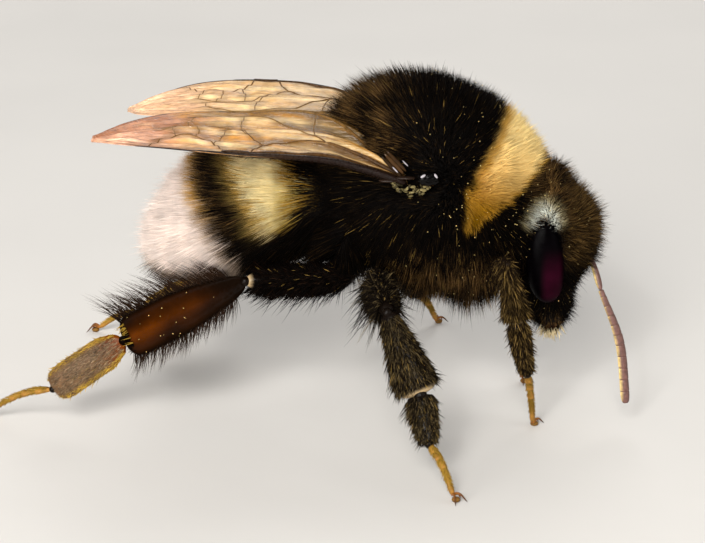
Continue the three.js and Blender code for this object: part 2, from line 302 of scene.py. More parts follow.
def rounded(count, power=6.0):
    """Shares along a limb, closer at its ends, and how its round ends narrow it there."""
    shares = (1 - np.cos(np.linspace(0.04, 0.96, count) * math.pi)) / 2
    shares = (shares - shares[0]) / (shares[-1] - shares[0])
    return shares, np.maximum(1 - np.abs(2 * shares - 1) ** power, 0.02) ** 0.5


# ---------------- surfaces that hair grows on


class Surface:
    """A triangle surface that can be sampled evenly."""

    def __init__(self, points, faces):
        triangles = [part[:, [0, 1, 2]] for part in faces]
        triangles += [part[:, [0, 2, 3]] for part in faces if part.shape[1] == 4]
        self.points, self.triangles = points, np.vstack(triangles)
        a, b, c = (points[self.triangles[:, k]] for k in range(3))
        cross = np.cross(b - a, c - a)
        self.areas = np.linalg.norm(cross, axis=1) / 2
        self.middles = (a + b + c) / 3
        normals = np.zeros_like(points)
        for k in range(3):
            np.add.at(normals, self.triangles[:, k], cross)
        self.normals = unit(normals)

    def sample(self, count, seed, density=None):
        """count random points and the surface's direction out there, thicker where density is."""
        rng = np.random.default_rng(seed)
        weights = self.areas * (density(self.middles).ravel() if density else 1)
        chosen = rng.choice(len(weights), count, p=weights / weights.sum())
        corner = self.triangles[chosen]
        share = rng.dirichlet((1, 1, 1), count)[..., None]
        points = (self.points[corner] * share).sum(1)
        return points, unit((self.normals[corner] * share).sum(1))


# ---------------- hair

HAIR_PATCH = 0.003  # the width of each hair's own patch on the unwrap of what it grows on
HAIR_SIDES = 3
PIECE_TRIANGLES = 195_000
ROOT_DEPTH = 0.06  # how deep a hair's root sits in the skin
THINNING = 1.6  # the power of its length with which a hair thins
PALING = 0.7  # and with which its colour turns to that of its tip


def hair_faces(segments):
    """Faces of one hair, and the place round and along it of each face corner."""
    ring, side = np.divmod(np.arange(segments * HAIR_SIDES), HAIR_SIDES)
    start = np.stack([side / HAIR_SIDES, ring / segments], -1)
    end = start + (1 / HAIR_SIDES, 0)
    up = (0, 1 / segments)
    quad_places = np.stack([start, end, end + up, start + up], 1)
    tip_places = np.stack([start, end, (start + end) / 2 + up], 1)
    quads = grid_faces(segments, HAIR_SIDES, True)
    first = (segments - 1) * HAIR_SIDES + np.arange(HAIR_SIDES)
    tris = np.stack([first, np.roll(first, -1), np.full(HAIR_SIDES, segments * HAIR_SIDES)], -1)
    groups = [(quads, quad_places[:-HAIR_SIDES]), (tris, tip_places[-HAIR_SIDES:])]
    return groups[segments == 1 :]


def hair_mesh(name, hairs, segments):
    """One mesh of spikes: each starts along its way, bends, and narrows to a point."""
    count = len(hairs["root"])
    root, way, bend, place = (hairs[key][:, None] for key in ("root", "way", "bend", "place"))
    share = np.linspace(0, 1, segments + 1)[None, :, None]
    line = root + hairs["length"][:, None] * (way * share + bend * share**2)
    line[:, 0] -= hairs["way"] * ROOT_DEPTH
    across = unit(np.cross(hairs["way"], hairs["turn"]))
    over = np.cross(hairs["way"], across)
    angles = np.arange(HAIR_SIDES)[:, None] * 2 * math.pi / HAIR_SIDES
    ring = across[:, None] * np.cos(angles) + over[:, None] * np.sin(angles)
    radius = hairs["width"] / 2 * (1 - share[..., 0] ** THINNING)
    rings = line[:, :-1, None] + ring[:, None] * radius[:, :-1, None, None]
    points = np.concatenate([rings.reshape(count, -1, 3), line[:, -1:]], 1)
    along = np.append(np.repeat(share[0, :-1, 0], HAIR_SIDES), 1)[None, :, None]
    tints = blend(hairs["root_tint"][:, None], hairs["tip_tint"][:, None], along**PALING)
    faces, places = [], []
    start = np.arange(count)[:, None, None] * points.shape[1]
    chart = place * (1 - 2 * HAIR_PATCH) + HAIR_PATCH
    for corners, around in hair_faces(segments):
        faces.append((start + corners).reshape(-1, corners.shape[1]))
        places.append((chart[:, None] + (around - 0.5) * HAIR_PATCH).reshape(-1, 2))
    return new_mesh(name, points.reshape(-1, 3), faces, tints.reshape(-1, 3), np.concatenate(places))


def clump(hairs, every, pull, seed):
    """Draws the tips of neighbouring hairs together, one tuft for so many hairs.

    pull is one share, or a column of one for each hair, of the way to the middle of the tuft.
    """
    rng = np.random.default_rng(seed)
    count = len(hairs["root"])
    guides = rng.choice(count, max(1, count // every), replace=False)
    middle = guides[nearest(hairs["root"][guides], hairs["root"])[0]]
    tips = hairs["root"] + hairs["length"] * (hairs["way"] + hairs["bend"])
    draw = (tips[middle] - tips) * pull * rng.uniform(0.3, 1, (count, 1))
    hairs["bend"] = hairs["bend"] + draw / hairs["length"]
    return hairs


def hair_set(roots, ways, lengths, width, bends, root_tints, tip_tints, places, seed):
    """Hairs as arrays with a row for each hair. Ways and bends are measured in hair lengths."""
    return {
        "root": roots,
        "way": unit(ways),
        "length": lengths,
        "width": np.full(lengths.shape, width),
        "bend": bends,
        "root_tint": np.broadcast_to(root_tints, roots.shape),
        "tip_tint": np.broadcast_to(tip_tints, roots.shape),
        "place": places,
        "turn": np.random.default_rng(seed).normal(size=roots.shape),
    }


def joined_hairs(sets):
    return {key: np.concatenate([hairs[key] for hairs in sets]) for key in sets[0]}


def coat_pieces(name, hairs, segments, material):
    """Makes a coat in as many pieces, each a stretch of the unwrap, as keep it under the limit."""
    triangles = HAIR_SIDES * (2 * segments - 1)
    count = math.ceil(len(hairs["root"]) * triangles / PIECE_TRIANGLES)
    order = np.argsort(hairs["place"][:, 0])
    for index, chosen in enumerate(np.array_split(order, count)):
        part = {key: values[chosen] for key, values in hairs.items()}
        start, end = part["place"][:, 0].min(), part["place"][:, 0].max()
        part["place"] = part["place"].copy()
        part["place"][:, 0] = (part["place"][:, 0] - start) / (end - start)
        full_name = f"coat_{name}_{index + 1}" if count > 1 else f"coat_{name}"
        piece(full_name, hair_mesh(full_name, part, segments), material)


# ---------------- materials


def node(tree, kind, **inputs):
    """A new node of a material, with each input linked to a socket or set to a value."""
    made = tree.nodes.new("ShaderNode" + kind)
    fill(tree, made, inputs)
    return made


def fill(tree, made, inputs):
    """Links or sets inputs by their names, in which _ stands for a space."""
    for name, value in inputs.items():
        socket = made.inputs[name.replace("_", " ")]
        if isinstance(value, bpy.types.NodeSocket):
            tree.links.new(value, socket)
        else:
            socket.default_value = value


def noise(tree, coordinates, size, detail=3.0, stretch=(1, 1, 1)):
    """A noise texture whose grains are size mm across, or drawn out by stretch."""
    scale = [1 / (size * MM * part) for part in stretch]
    mapping = node(tree, "Mapping", Vector=coordinates, Scale=scale)
    texture = node(tree, "TexNoise", Vector=mapping.outputs["Vector"], Scale=1.0, Detail=detail)
    return texture.outputs["Fac"]


def ranged(tree, value, low_value, high_value):
    """The value's usual noise range, 0.3 to 0.7, stretched to run between two others."""
    limits = {"From_Min": 0.3, "From_Max": 0.7, "To_Min": low_value, "To_Max": high_value}
    return node(tree, "MapRange", Value=value, **limits).outputs["Result"]


def finish_of(name, grain, shades, roughness, bump=0.0, shine=0.5, facets=0.0, stretch=(1, 1, 1), **more):
    """A material that takes the mesh's own colours and varies them, its gloss and its relief.

    grain is the size of its speckle in mm, shades and roughness are each a low and a high value,
    bump is the relief in mm, shine the specular level, facets the width of an eye's lenses, and
    more holds other inputs of the shader by their names.
    """
    material = bpy.data.materials.new(name)
    material.use_nodes = True
    tree = material.node_tree
    shader = tree.nodes["Principled BSDF"]
    coordinates = tree.nodes.new("ShaderNodeTexCoord").outputs["Object"]
    tint = tree.nodes.new("ShaderNodeAttribute")
    tint.attribute_name = "tint"
    speckle = ranged(tree, noise(tree, coordinates, grain * 4), *shades)
    vary = tree.nodes.new("ShaderNodeVectorMath")
    vary.operation = "SCALE"
    fill(tree, vary, {"Vector": tint.outputs["Color"], "Scale": speckle})
    more["Base_Color"] = vary.outputs["Vector"]
    more["Roughness"] = ranged(tree, noise(tree, coordinates, grain * 2), *roughness)
    if bump:
        height = noise(tree, coordinates, grain, 4.0, stretch)
        if facets:
            cells = node(tree, "TexVoronoi", Vector=coordinates, Scale=1 / (facets * MM))
            height = cells.outputs["Distance"]
        relief = node(tree, "Bump", Height=height, Distance=bump * MM)
        relief.invert = facets > 0
        more["Normal"] = relief.outputs["Normal"]
    fill(tree, shader, more)
    shader.inputs["Specular IOR Level"].default_value = shine
    return material


FUR = finish_of("fur", 0.15, (0.75, 1.25), (0.4, 0.6), shine=0.02)
SKIN = finish_of("skin", 0.08, (0.7, 1.3), (0.4, 0.7), bump=0.02, shine=0.04)
SHELL = finish_of("shell", 0.06, (0.7, 1.35), (0.14, 0.3), bump=0.012, shine=0.09)
EYE_GLASS = finish_of("eye", 0.2, (0.6, 1.4), (0.16, 0.26), bump=0.004, shine=0.015, facets=0.032)
BASKET = finish_of("basket", 0.2, (0.7, 1.3), (0.1, 0.2), bump=0.02, shine=0.005)
GLOSS = finish_of("gloss", 0.1, (0.6, 1.4), (0.08, 0.16), bump=0.01, shine=0.1)
FEELER = finish_of("feeler", 0.03, (0.7, 1.4), (0.35, 0.6), bump=0.005)
MEMBRANE = finish_of(
    "membrane", 0.09, (0.8, 1.2), (0.08, 0.22), bump=0.09, stretch=(4, 1, 1), Alpha=0.94, Coat_Weight=0.18
)
VEIN = finish_of("vein", 0.05, (0.6, 1.4), (0.2, 0.4), bump=0.02, shine=0.12)
CLAW = finish_of("claw", 0.04, (0.7, 1.35), (0.3, 0.5), bump=0.01, shine=0.15)
POLLEN = finish_of("pollen", 0.02, (0.8, 1.2), (0.4, 0.6), bump=0.004)

# ---------------- camera, lights and floor

CAMERA_TURN = math.radians(4)  # from the bee's right side towards its head
CAMERA_RISE = math.radians(20)
CAMERA_AWAY = 84  # mm from its target
CAMERA_TARGET = np.array((0, 0, 5.07))
WARM, SOFT, COOL = (1.0, 0.97, 0.92), (1.0, 0.98, 0.95), (0.92, 0.96, 1.0)
LAMPS = {  # each one's place and size in mm, its power and its colour
    "key_light": ((-20, -146, 98), 75, 0.33, WARM),
    "glint_light": ((-30, -140, 110), 8, 0.03, COOL),
    "fill_light": ((-80, -140, 24), 90, 0.22, SOFT),
    "back_light": ((30, 120, 120), 120, 0.12, SOFT),
    "front_light": ((150, -50, 60), 90, 0.055, SOFT),
    "rear_light": ((-130, 90, 50), 90, 0.06, SOFT),
}
FLOOR_REACH = 1500  # mm to each side


def aimed(name, data, place, back):
    """An object at a place in mm, whose back faces along a vector."""
    made = placed(name, data)
    made.location = (np.array(place) + SHIFT) * MM
    made.rotation_mode = "QUATERNION"
    made.rotation_quaternion = Vector(back).to_track_quat("Z", "Y")
    return made


def camera():
    """A long lens at the photo's viewing angle."""
    level = math.cos(CAMERA_RISE)
    look = np.array((-math.sin(CAMERA_TURN) * level, math.cos(CAMERA_TURN) * level, -math.sin(CAMERA_RISE)))
    data = bpy.data.cameras.new("camera")
    data.sensor_width = 36
    data.lens = 120
    data.clip_start = 0.002
    data.clip_end = 10
    bpy.context.scene.camera = aimed("camera", data, CAMERA_TARGET - look * CAMERA_AWAY, -look)


def studio():
    """Soft square lamps turned to the bee, a pale surrounding and the floor."""
    for name, (place, size, power, colour) in LAMPS.items():
        data = bpy.data.lights.new(name, "AREA")
        data.size = size * MM
        data.energy = power
        data.color = colour
        aimed(name, data, place, Vector(place) - Vector(THORAX["centre"]))
    world = bpy.data.worlds.new("studio")
    world.use_nodes = True
    backdrop = world.node_tree.nodes["Background"]
    backdrop.inputs["Color"].default_value = (0.86, 0.88, 0.9, 1)
    backdrop.inputs["Strength"].default_value = 0.24
    bpy.context.scene.world = world
    corners = np.array([(-1, -1, 0), (1, -1, 0), (1, 1, 0), (-1, 1, 0)]) * FLOOR_REACH
    mesh = new_mesh("floor", corners, [np.array([[0, 1, 2, 3]])], linear(214, 211, 207))
    mesh.materials.append(finish_of("floor", 6.0, (0.97, 1.03), (0.6, 0.8), bump=0.05))
    floor = placed("floor", mesh)
    bpy.context.scene.view_settings.view_transform = "Standard"


# ---------------- skin


def narrow_below(points, ball_points, width):
    """Narrows the lower half, to a share of its width at the foot."""
    points = points.copy()
    points[:, 1] *= 1 - (1 - width) * np.maximum(0, -ball_points[:, 2]) ** 1.5
    return points


def lean_thorax(points, ball_points):
    """The back sits further behind than the chest, and the chest is the narrower."""
    points = narrow_below(points, ball_points, THORAX["chest_width"])
    points[:, 0] += THORAX["lean"] * points[:, 2]
    return points


def hang_abdomen(points, ball_points):
    """The hind half hangs down to the tail, drawn forward at its top, with plates along it."""
    points = points.copy()
    half_length = ABDOMEN["half"][0]
    plate = (points[:, :1] / half_length + 1) / 2 * ABDOMEN["plates"]
    points[:, 1:] *= 1 - ABDOMEN["plate_step"] * (1 - plate % 1) * step(0.4, 1.2, plate)
    x = points[:, 0]
    hind = np.minimum(0, x)
    height = np.maximum(0, ball_points[:, 2] - ABDOMEN["tuck_foot"])
    points[:, 2] += ABDOMEN["slope"] * x - ABDOMEN["droop"] * hind**2
    points[:, 0] = x + ABDOMEN["tuck"] * height * (hind / half_length) ** 2
    return points


def narrow_head(points, ball_points):
    """The face narrows to the mouth, with a brow that stands out and a crown that slopes back."""
    points = narrow_below(points, ball_points, HEAD["chin_width"])
    height = points[:, 2] + HEAD["centre"][2]
    wanted = np.interp(height, FACE["z"], FACE["x"]) - HEAD["centre"][0]
    round_front = HEAD["half"][0] * np.sqrt(np.maximum(1 - ball_points[:, 2] ** 2, 0.01))
    points[:, 0] *= np.where(points[:, 0] > 0, np.clip(wanted / round_front, 0.2, 1.2), 1)
    return points


def read(rows, name, kind, width=1):
    """A property of all rows of a mesh as one array."""
    values = np.empty(len(rows) * width, kind)
    rows.foreach_get(name, values)
    return values


def body_surface():
    """The thorax, abdomen and head grown together into one closed surface."""
    shape = Shape()
    for part, bend in zip(BODY_PARTS, (lean_thorax, hang_abdomen, narrow_head)):
        shape.add(*blob(part["centre"], part["half"], 64, 96, bend), 0.0)
    for part in (NECK, WAIST):
        shape.add(*blob(part["centre"], part["half"]), 0.0)
    rough = placed("body", bare_mesh("body", np.concatenate(shape.points), shape.faces))
    remesh = rough.modifiers.new("join", "REMESH")
    remesh.mode = "VOXEL"
    remesh.voxel_size = GRAIN_OF_SKIN
    rough.modifiers.new("soften", "SMOOTH").iterations = 5
    joined = rough.evaluated_get(bpy.context.evaluated_depsgraph_get()).to_mesh()
    points = read(joined.vertices, "co", float, 3).reshape(-1, 3)
    corners = read(joined.loops, "vertex_index", np.int32)
    starts = read(joined.polygons, "loop_start", np.int32)
    sizes = np.diff(np.append(starts, len(corners)))
    faces = [corners[starts[sizes == k][:, None] + np.arange(k)] for k in np.unique(sizes)]
    bpy.data.objects.remove(rough)
    return points, faces


def reach(points, part):
    """How far out points are from a body part's middle, where 1 is about its skin, and which way."""
    offset = points - part["centre"]
    x, z = offset[:, 0].copy(), offset[:, 2].copy()
    if "lean" in part:
        offset[:, 0] -= part["lean"] * z
    if "droop" in part:
        offset[:, 2] -= part["slope"] * x - part["droop"] * np.minimum(0, x) ** 2
    scaled = offset / part["half"]
    return distance(scaled), scaled


def nearest_part(points):
    """0 where a point belongs to the thorax, 1 to the abdomen and 2 to the head."""
    return np.argmin([reach(points, part)[0] for part in BODY_PARTS], axis=0)


def unwrap(points, part):
    """Each point's place round a part's long axis and from its front to its tail, from 0 to 1."""
    away, scaled = reach(points, part)
    around = np.arctan2(scaled[:, 1:2], scaled[:, 2:3]) / (2 * math.pi) + 0.5
    along = np.arccos(np.clip(scaled[:, :1] / away, -1, 1)) / math.pi
    return np.hstack([around, along])


# ---------------- markings

JET = linear(7, 5, 4)
LIT_BROWN = linear(134, 101, 58)  # the few hairs that catch the light in a dark stretch of the coat
# each _ROOT colour is darker than its tip's: painted shade deep in the coat
GOLD_ROOT = linear(188, 128, 8)
GOLD = linear(214, 154, 12)
# pale colours of a painted highlight over the collar's upper front
COLLAR_HIGHLIGHT_ROOT = linear(244, 210, 140)
COLLAR_HIGHLIGHT = linear(255, 226, 156)
STRAW_ROOT = linear(212, 178, 96)
STRAW = linear(254, 238, 186)
STRAW_FRONT = linear(222, 190, 96)
EDGE_BROWN = linear(186, 138, 46)
WHITE_ROOT = linear(236, 218, 206)
WHITE = linear(242, 225, 215)
OLIVE = linear(150, 116, 66)
GILT = linear(170, 138, 72)
# pale colours of a painted sheen on the hair that arches over each eye
PAINTED_SHEEN = linear(236, 240, 228)
PAINTED_SHEEN_EDGE = linear(184, 170, 128)
SKIN_SHADE = 0.65  # how bright the skin is under roots of its colour


def collar(points):
    """1 in the yellow band over the front of the thorax, which narrows to a point at each side."""
    x, z = points[:, :1], points[:, 2:3]
    ragged = 0.14 * ripple(points, 0.7, 11)
    hind = 4.18 + 0.32 * np.maximum(0, z - 8.6) ** 1.5
    fore = 3.95 + 1.4 * (z - 7.65)
    return step(-0.26, 0.34, x - hind + ragged) * step(-0.2, 0.2, fore - x + ragged)


def belt(points):
    """1 in the yellow band across the abdomen, which narrows to a point low on each side."""
    x, z = points[:, :1], points[:, 2:3]
    ragged = 0.16 * ripple(points * (0.5, 1, 1), 0.5, 12)
    hind = -2.9 - 0.64 * (z - 7.38)
    fore = -2.2 - 0.5 * np.maximum(0, z - 8.7) - 1.3 * np.maximum(0, 7.85 - z) ** 1.5
    return step(-0.2, 0.2, x - hind + ragged) * step(-0.2, 0.2, fore - x + ragged)


def tail(points):
    """1 on the white tail."""
    x, z = points[:, :1], points[:, 2:3]
    ragged = 0.14 * ripple(points * (0.5, 1, 1), 0.5, 13)
    return step(-0.4, 0.36, -4.45 - 0.54 * (z - 6.6) - x + ragged) * step(5.3, 5.9, z)


def brownness(points):
    """How many of the dark coat's hairs are lit brown ones, from 0 to 1."""
    x, z = points[:, :1], points[:, 2:3]
    shoulder = step(2.8, 1.0, x) * step(9.0, 10.2, z)
    chest = 0.95 * step(7.6, 5.8, z) * step(0.9, 2.2, x) * step(6.2, 5.6, x)
    band = 0.7 * step(-2.2, -3.0, x) * step(6.6, 7.8, z)
    belly = 0.3 * step(6.4, 5.6, z) * step(-1.0, -2.0, x)
    head = (0.06 + 0.94 * step(7.0, 8.0, z)) * step(5.6, 6.4, x)
    patches = np.clip(0.8 + 0.5 * ripple(points, 1.2, 14), 0, 1)
    return np.max([shoulder, chest, band, belly, head], axis=0) * patches


def body_tints(points, chance):
    """The colours of the hair at its root and its tip, by the place that the hair covers.

    chance is a number from 0 to 1 of each hair's own, which picks out the lit ones.
    """
    x, z = points[:, :1], points[:, 2:3]
    brown = brownness(points)
    # Lit hairs take painted highlight tips of LIT_BROWN, painted brighter still on the chest and the crown.
    lit = chance ** (22 - 19.8 * brown**0.6) * (0.16 + 0.84 * brown)
    painted_light_boost = blend(0.9 * step(7.4, 6.0, z), 0.6 * step(8.0, 9.0, z), step(5.4, 6.0, x))
    root, tip = np.broadcast_to(JET, points.shape), blend(JET, LIT_BROWN * (1 + painted_light_boost), lit)
    # The collar takes a painted highlight over its upper front (pale) and painted shade that darkens its
    # lower part (shaded).
    pale = step(8.0, 11.0, z + 0.5 * (x - 5))
    shaded = 0.06 + 0.94 * step(7.2, 10.0, z)
    # painted light and shade on the belt: darker towards its bottom, lighter again at its top beside the
    # wing
    lit_low = 0.4 + 0.3 * step(6.6, 8.2, z) + 0.16 * step(8.6, 9.4, z)
    straw = blend(STRAW, STRAW_FRONT, step(-2.9, -2.3, x))
    for share, root_tint, tip_tint in (
        (collar(points), blend(GOLD_ROOT, COLLAR_HIGHLIGHT_ROOT, pale) * shaded, blend(GOLD, COLLAR_HIGHLIGHT, pale) * shaded),
        (belt(points), STRAW_ROOT * lit_low, straw * lit_low),
        (tail(points), WHITE_ROOT, WHITE),
    ):
        fringe = 3.8 * share * (1 - share) * (0.25 + 0.75 * step(7.2, 8.6, z))
        root = blend(root, root_tint, share)
        tip = blend(blend(tip, tip_tint, share), EDGE_BROWN, fringe)
    return root, tip


def skin_tints(points, normals):
    """The skin is a darker shade of the hair roots over it."""
    root, _ = body_tints(points + normals * COAT_DEPTH / 2, np.zeros((len(points), 1)))
    return root * SKIN_SHADE


# ---------------- the coat of the body

# the first stretches of a forewing's front and hind edges
WING_ROOTS = (((2.6, 3.0, 9.3), (-0.4, 3.35, 10.15)), ((1.9, 2.4, 9.9), (-0.2, 1.3, 10.7)))
PAINTED_SHEEN_MIDDLE = (6.75, 1.85, 7.75)  # the pale patch of painted sheen arches over the top of the eye


def eye_reach(points):
    """How far points are from the middle of the nearer eye, where 1 is its surface."""
    return distance((either_side(points) - EYE["centre"]) / EYE["half"])


def bare(points):
    """0 where no hair grows: on the eyes and the wing joints."""
    from_tegula = distance((either_side(points) - TEGULA["centre"]) / TEGULA["half"])
    return (eye_reach(points) > 0.88) * (from_tegula > 0.6)


def near_wing_root(points):
    """1 close to a forewing's root, where the hair is short and combed back."""
    closest = np.inf
    for start, end in WING_ROOTS:
        offset, span = either_side(points) - start, np.subtract(end, start)
        share = np.clip(offset @ span / (span @ span), 0, 1)[:, None]
        closest = np.minimum(closest, distance(offset - share * span))
    return step(0.95, 0.55, closest)


def thorax_hairs(roots, normals, rng):
    """Upright velvet, longer and swept back over the wings' roots, hanging down below."""
    x, z = roots[:, :1], roots[:, 2:3]
    low_down = step(8.5, 5.5, z)
    behind = step(3.8, 0.6, x) * step(8.0, 9.5, z)
    joint = near_wing_root(roots)
    ways = normals + behind * (-0.55, 0, 0.1) + low_down * (0, 0, -0.5)
    ways = ways * (1 - 0.6 * joint) + joint * (-0.9, 0, 0.25)
    wild = 0.1 + 0.08 * low_down - 0.07 * collar(roots + 0.5 * normals)
    ways = ways + (0.1 + 0.12 * low_down) * sway(roots, 1.1, 21) + wild * rng.normal(size=roots.shape)
    lengths = 0.88 * (1 + 0.42 * behind + 0.3 * low_down) * (1 - 0.7 * joint)
    uneven = 0.3 * ripple(roots, 1.3, 24) - 0.3 * rng.random((len(roots), 1))
    bends = 0.06 * rng.normal(size=roots.shape) + (-0.04, 0, -0.05)
    return unit(ways), lengths * (1 + low_down * uneven), bends


def abdomen_hairs(roots, normals, rng):
    """Long hair combed back to the tail, fuller on the belly."""
    under, back = step(7.4, 6.0, roots[:, 2:3]), step(-4.8, -7.0, roots[:, :1])
    ways = normals * (0.5 + 0.4 * back + 0.45 * under) + (-1.0, 0, -0.16)
    wild = 0.1 - 0.05 * tail(roots)
    ways = unit(ways + 1.2 * wild * sway(roots, 0.9, 31) + wild * rng.normal(size=roots.shape))
    return ways, 1.25 - 0.2 * under, 0.06 * rng.normal(size=roots.shape) + (-0.05, 0, -0.1)


def head_hairs(roots, normals, rng):
    """A short-haired cheek, a full brow, a thin standing crest and hair that hangs by the mouth."""
    x, z = roots[:, :1], roots[:, 2:3]
    crest = step(7.5, 8.1, z)
    brow = step(7.3, 7.9, x) * step(5.6, 6.1, z) * (1 - crest)
    jaw, hanging = step(5.0, 4.3, z), step(6.0, 4.8, z)
    lid = step(1.75, 1.25, eye_reach(roots))
    ways = normals + crest * (0.35, 0, 0.35) + brow * (0.15, 0, 0.0) + hanging * (0, 0, -0.6)
    ways = unit(ways + 0.14 * sway(roots, 0.7, 41) + 0.18 * rng.normal(size=roots.shape))
    ways = ways + 0.35 * lid * (0, 1, 0) * np.sign(roots[:, 1:2])
    lengths = 0.3 + 0.2 * crest + 0.2 * brow + 0.12 * jaw + 0.14 * lid
    return ways, lengths, 0.1 * rng.normal(size=roots.shape) + (0, 0, -0.06)


def gold_tipped(points, tip, rng):
    """The olive-brown brow, whose hairs have golden tips."""
    face = step(7.3, 8.0, points[:, :1]) * step(5.9, 7.1, points[:, 2:3])
    return blend(tip, OLIVE * rng.random((len(points), 1)) ** 3, face)


def painted_sheen_arch(points, root, tip, rng):
    """Pale hairs in an arch over each eye, coloured as a painted sheen."""
    offset = either_side(points) - PAINTED_SHEEN_MIDDLE
    away = distance(offset / (0.8, 1.3, 0.85))
    arch = step(1.15, 0.8, away) * step(0.2, 0.5, away) * step(-0.3, 0.1, offset[:, 2:3])
    share = arch * (rng.random((len(points), 1)) < 0.75)
    sheen_tint = blend(PAINTED_SHEEN_EDGE, PAINTED_SHEEN, step(0.95, 0.55, away))
    return root * (1 - 0.6 * share) + sheen_tint * 0.4 * share, blend(tip, sheen_tint, share)


# Each coat has three layers: how many lengths of tube each hair has, and its height. "shown" is
# how far along a hair the place lies whose colour it takes.
LAYERS = {"under": (1, 0.68), "top": (1, 1.0), "guard": (3, 1.22)}
COATS = {
    "thorax": {
        "part": THORAX, "grow": thorax_hairs, "width": 0.034, "shown": 0.6,
        "counts": {"under": 34_000, "top": 78_000, "guard": 3_600}, "every": 7, "pull": 0.3, "wisps": 0,
    },
    "abdomen": {
        "part": ABDOMEN, "grow": abdomen_hairs, "width": 0.036, "shown": 0.85,
        "counts": {"under": 30_000, "top": 62_000, "guard": 5_000}, "every": 12, "pull": 0.5, "wisps": 0,
    },
    "head": {
        "part": HEAD, "grow": head_hairs, "width": 0.022, "shown": 0.6,
        "counts": {"under": 20_000, "top": 38_000, "guard": 4_000}, "every": 6, "pull": 0.3, "wisps": 0.35,
    },
}
LENGTH_SPREAD = (0.78, 1.12)  # the shortest and the longest hair, as shares of a layer's height
ROOT_SHOWN = 0.35  # how far along a hair the place lies whose colour its root takes
GILDED_SHARE = 0.006  # of the hairs, which have golden tips


def coat_layer(surface, density, name, layer, seed):
    """One layer of a body part's hair, in its place, its lie and its colours."""
    rng = np.random.default_rng(seed)
    coat, (segments, height) = COATS[name], LAYERS[layer]
    roots, normals = surface.sample(coat["counts"][layer], seed, density)
    one_each = (len(roots), 1)
    ways, lengths, bends = coat["grow"](roots, normals, rng)
    height = height + coat["wisps"] * (layer == "guard")
    lengths = lengths * height * rng.uniform(*LENGTH_SPREAD, one_each)
    spans = (ways + bends) * lengths
    covered = roots + spans * coat["shown"]
    chance = rng.random(one_each)
    root_tints, _ = body_tints(roots + spans * ROOT_SHOWN, chance)
    _, tip_tints = body_tints(covered, chance)
    if name == "head":
        tip_tints = gold_tipped(covered, tip_tints, rng)
    # pale hairs of painted sheen over the eyes
    if name != "abdomen":
        root_tints, tip_tints = painted_sheen_arch(covered, root_tints, tip_tints, rng)
    gilded = (rng.random(one_each) < GILDED_SHARE) * (name != "abdomen")
    tip_tints = blend(tip_tints, GILT, gilded)
    spread = 0.28 - 0.23 * step(0.05, 0.3, tip_tints.mean(1, keepdims=True)) + 0.16 * belt(roots)
    shade = 1 + spread * rng.uniform(-1, 1, one_each)
    hairs = hair_set(
        roots, ways, lengths, coat["width"], bends, root_tints * shade, tip_tints * shade,
        unwrap(roots, coat["part"]), seed,
    )
    smooth = np.maximum(collar(roots), tail(roots))
    hairs = clump(hairs, coat["every"], coat["pull"] * (1 - 0.85 * smooth), seed)
    coat_pieces(f"{name}_{layer}", hairs, segments, FUR)


def body_coat(surface):
    """The hair of the thorax, abdomen and head, in layers from a dense undercoat outwards."""
    for index, name in enumerate(COATS):

        def density(points, wanted=index):
            return (nearest_part(points) == wanted) * bare(points)

        for number, layer in enumerate(LAYERS):
            coat_layer(surface, density, name, layer, 100 + 10 * index + number)


# ---------------- legs

# The joints of each leg from the body to the foot, with Y counted outwards from the middle.
LEG_ROOTS = {"front": (4.6, 1.2, 5.2), "mid": (0.9, 1.4, 5.6), "hind": (0.2, 1.2, 5.3)}
STANCE = {
    "front_right": [(5.5, 3.0, 6.65), (5.9, 2.8, 4.35), (6.3, 2.45, 2.3), (6.55, 1.8, 0)],
    "front_left": [(5.3, 3.1, 6.6), (5.6, 3.0, 4.3), (5.9, 2.75, 2.3), (6.15, 2.4, 0)],
    "mid_right": [(1.5, 4.6, 5.3), (2.7, 6.0, 2.9), (3.05, 7.0, 1.55), (3.9, 8.0, 0)],
    "mid_left": [(1.0, 4.6, 5.3), (1.6, 6.15, 2.85), (2.0, 7.1, 1.6), (2.75, 8.05, 0)],
    "hind_right": [(-3.5, 3.1, 5.75), (-7.75, 3.4, 3.55), (-10.35, 3.3, 1.6), (-13.0, 2.5, 0)],
    "hind_left": [(-2.9, 3.8, 5.7), (-6.1, 5.2, 2.6), (-8.3, 6.05, 0.95), (-10.4, 6.3, 0)],
}
LEG_PARTS = ("femur", "tibia", "basitarsus")
# Half widths and half depths of the hard parts under the hair.
LEG_CORES = {
    "front femur": (0.38, 0.32), "front tibia": (0.4, 0.3), "front basitarsus": (0.36, 0.22),
    "mid femur": (0.44, 0.38), "mid tibia": (0.7, 0.34), "mid basitarsus": (0.48, 0.22),
    "hind femur": (0.46, 0.38), "hind tibia": (0.78, 0.26), "hind basitarsus": (0.63, 0.19),
}
LEG_COLOURS = {
    "front": {"shell": linear(22, 14, 8), "dark": linear(24, 16, 10), "lit": linear(170, 138, 80)},
    "mid": {"shell": linear(14, 9, 6), "dark": linear(16, 11, 7), "lit": linear(140, 120, 82)},
    "hind": {"shell": linear(12, 6, 3), "dark": linear(5, 3, 2), "lit": linear(52, 34, 22)},
}
LEG_HAIR = {"femur": 0.3, "tibia": 0.2, "basitarsus": 0.18, "tarsus": 0.1}
LEG_HAIR_COUNT = {"femur": 4400, "tibia": 6200, "basitarsus": 3800, "tarsus": 1000}
LONG_HAIR_SHARE = 0.08
LEG_HAIR_WIDTH = 0.032
AMBER_SHELL = linear(92, 42, 0)
SILVER_SHELL = linear(92, 68, 46)
PALE_JOINT = linear(172, 148, 112)
FOOT_GOLD = linear(146, 104, 44)
SILVER = linear(152, 128, 100)
BRASS = linear(206, 166, 66)
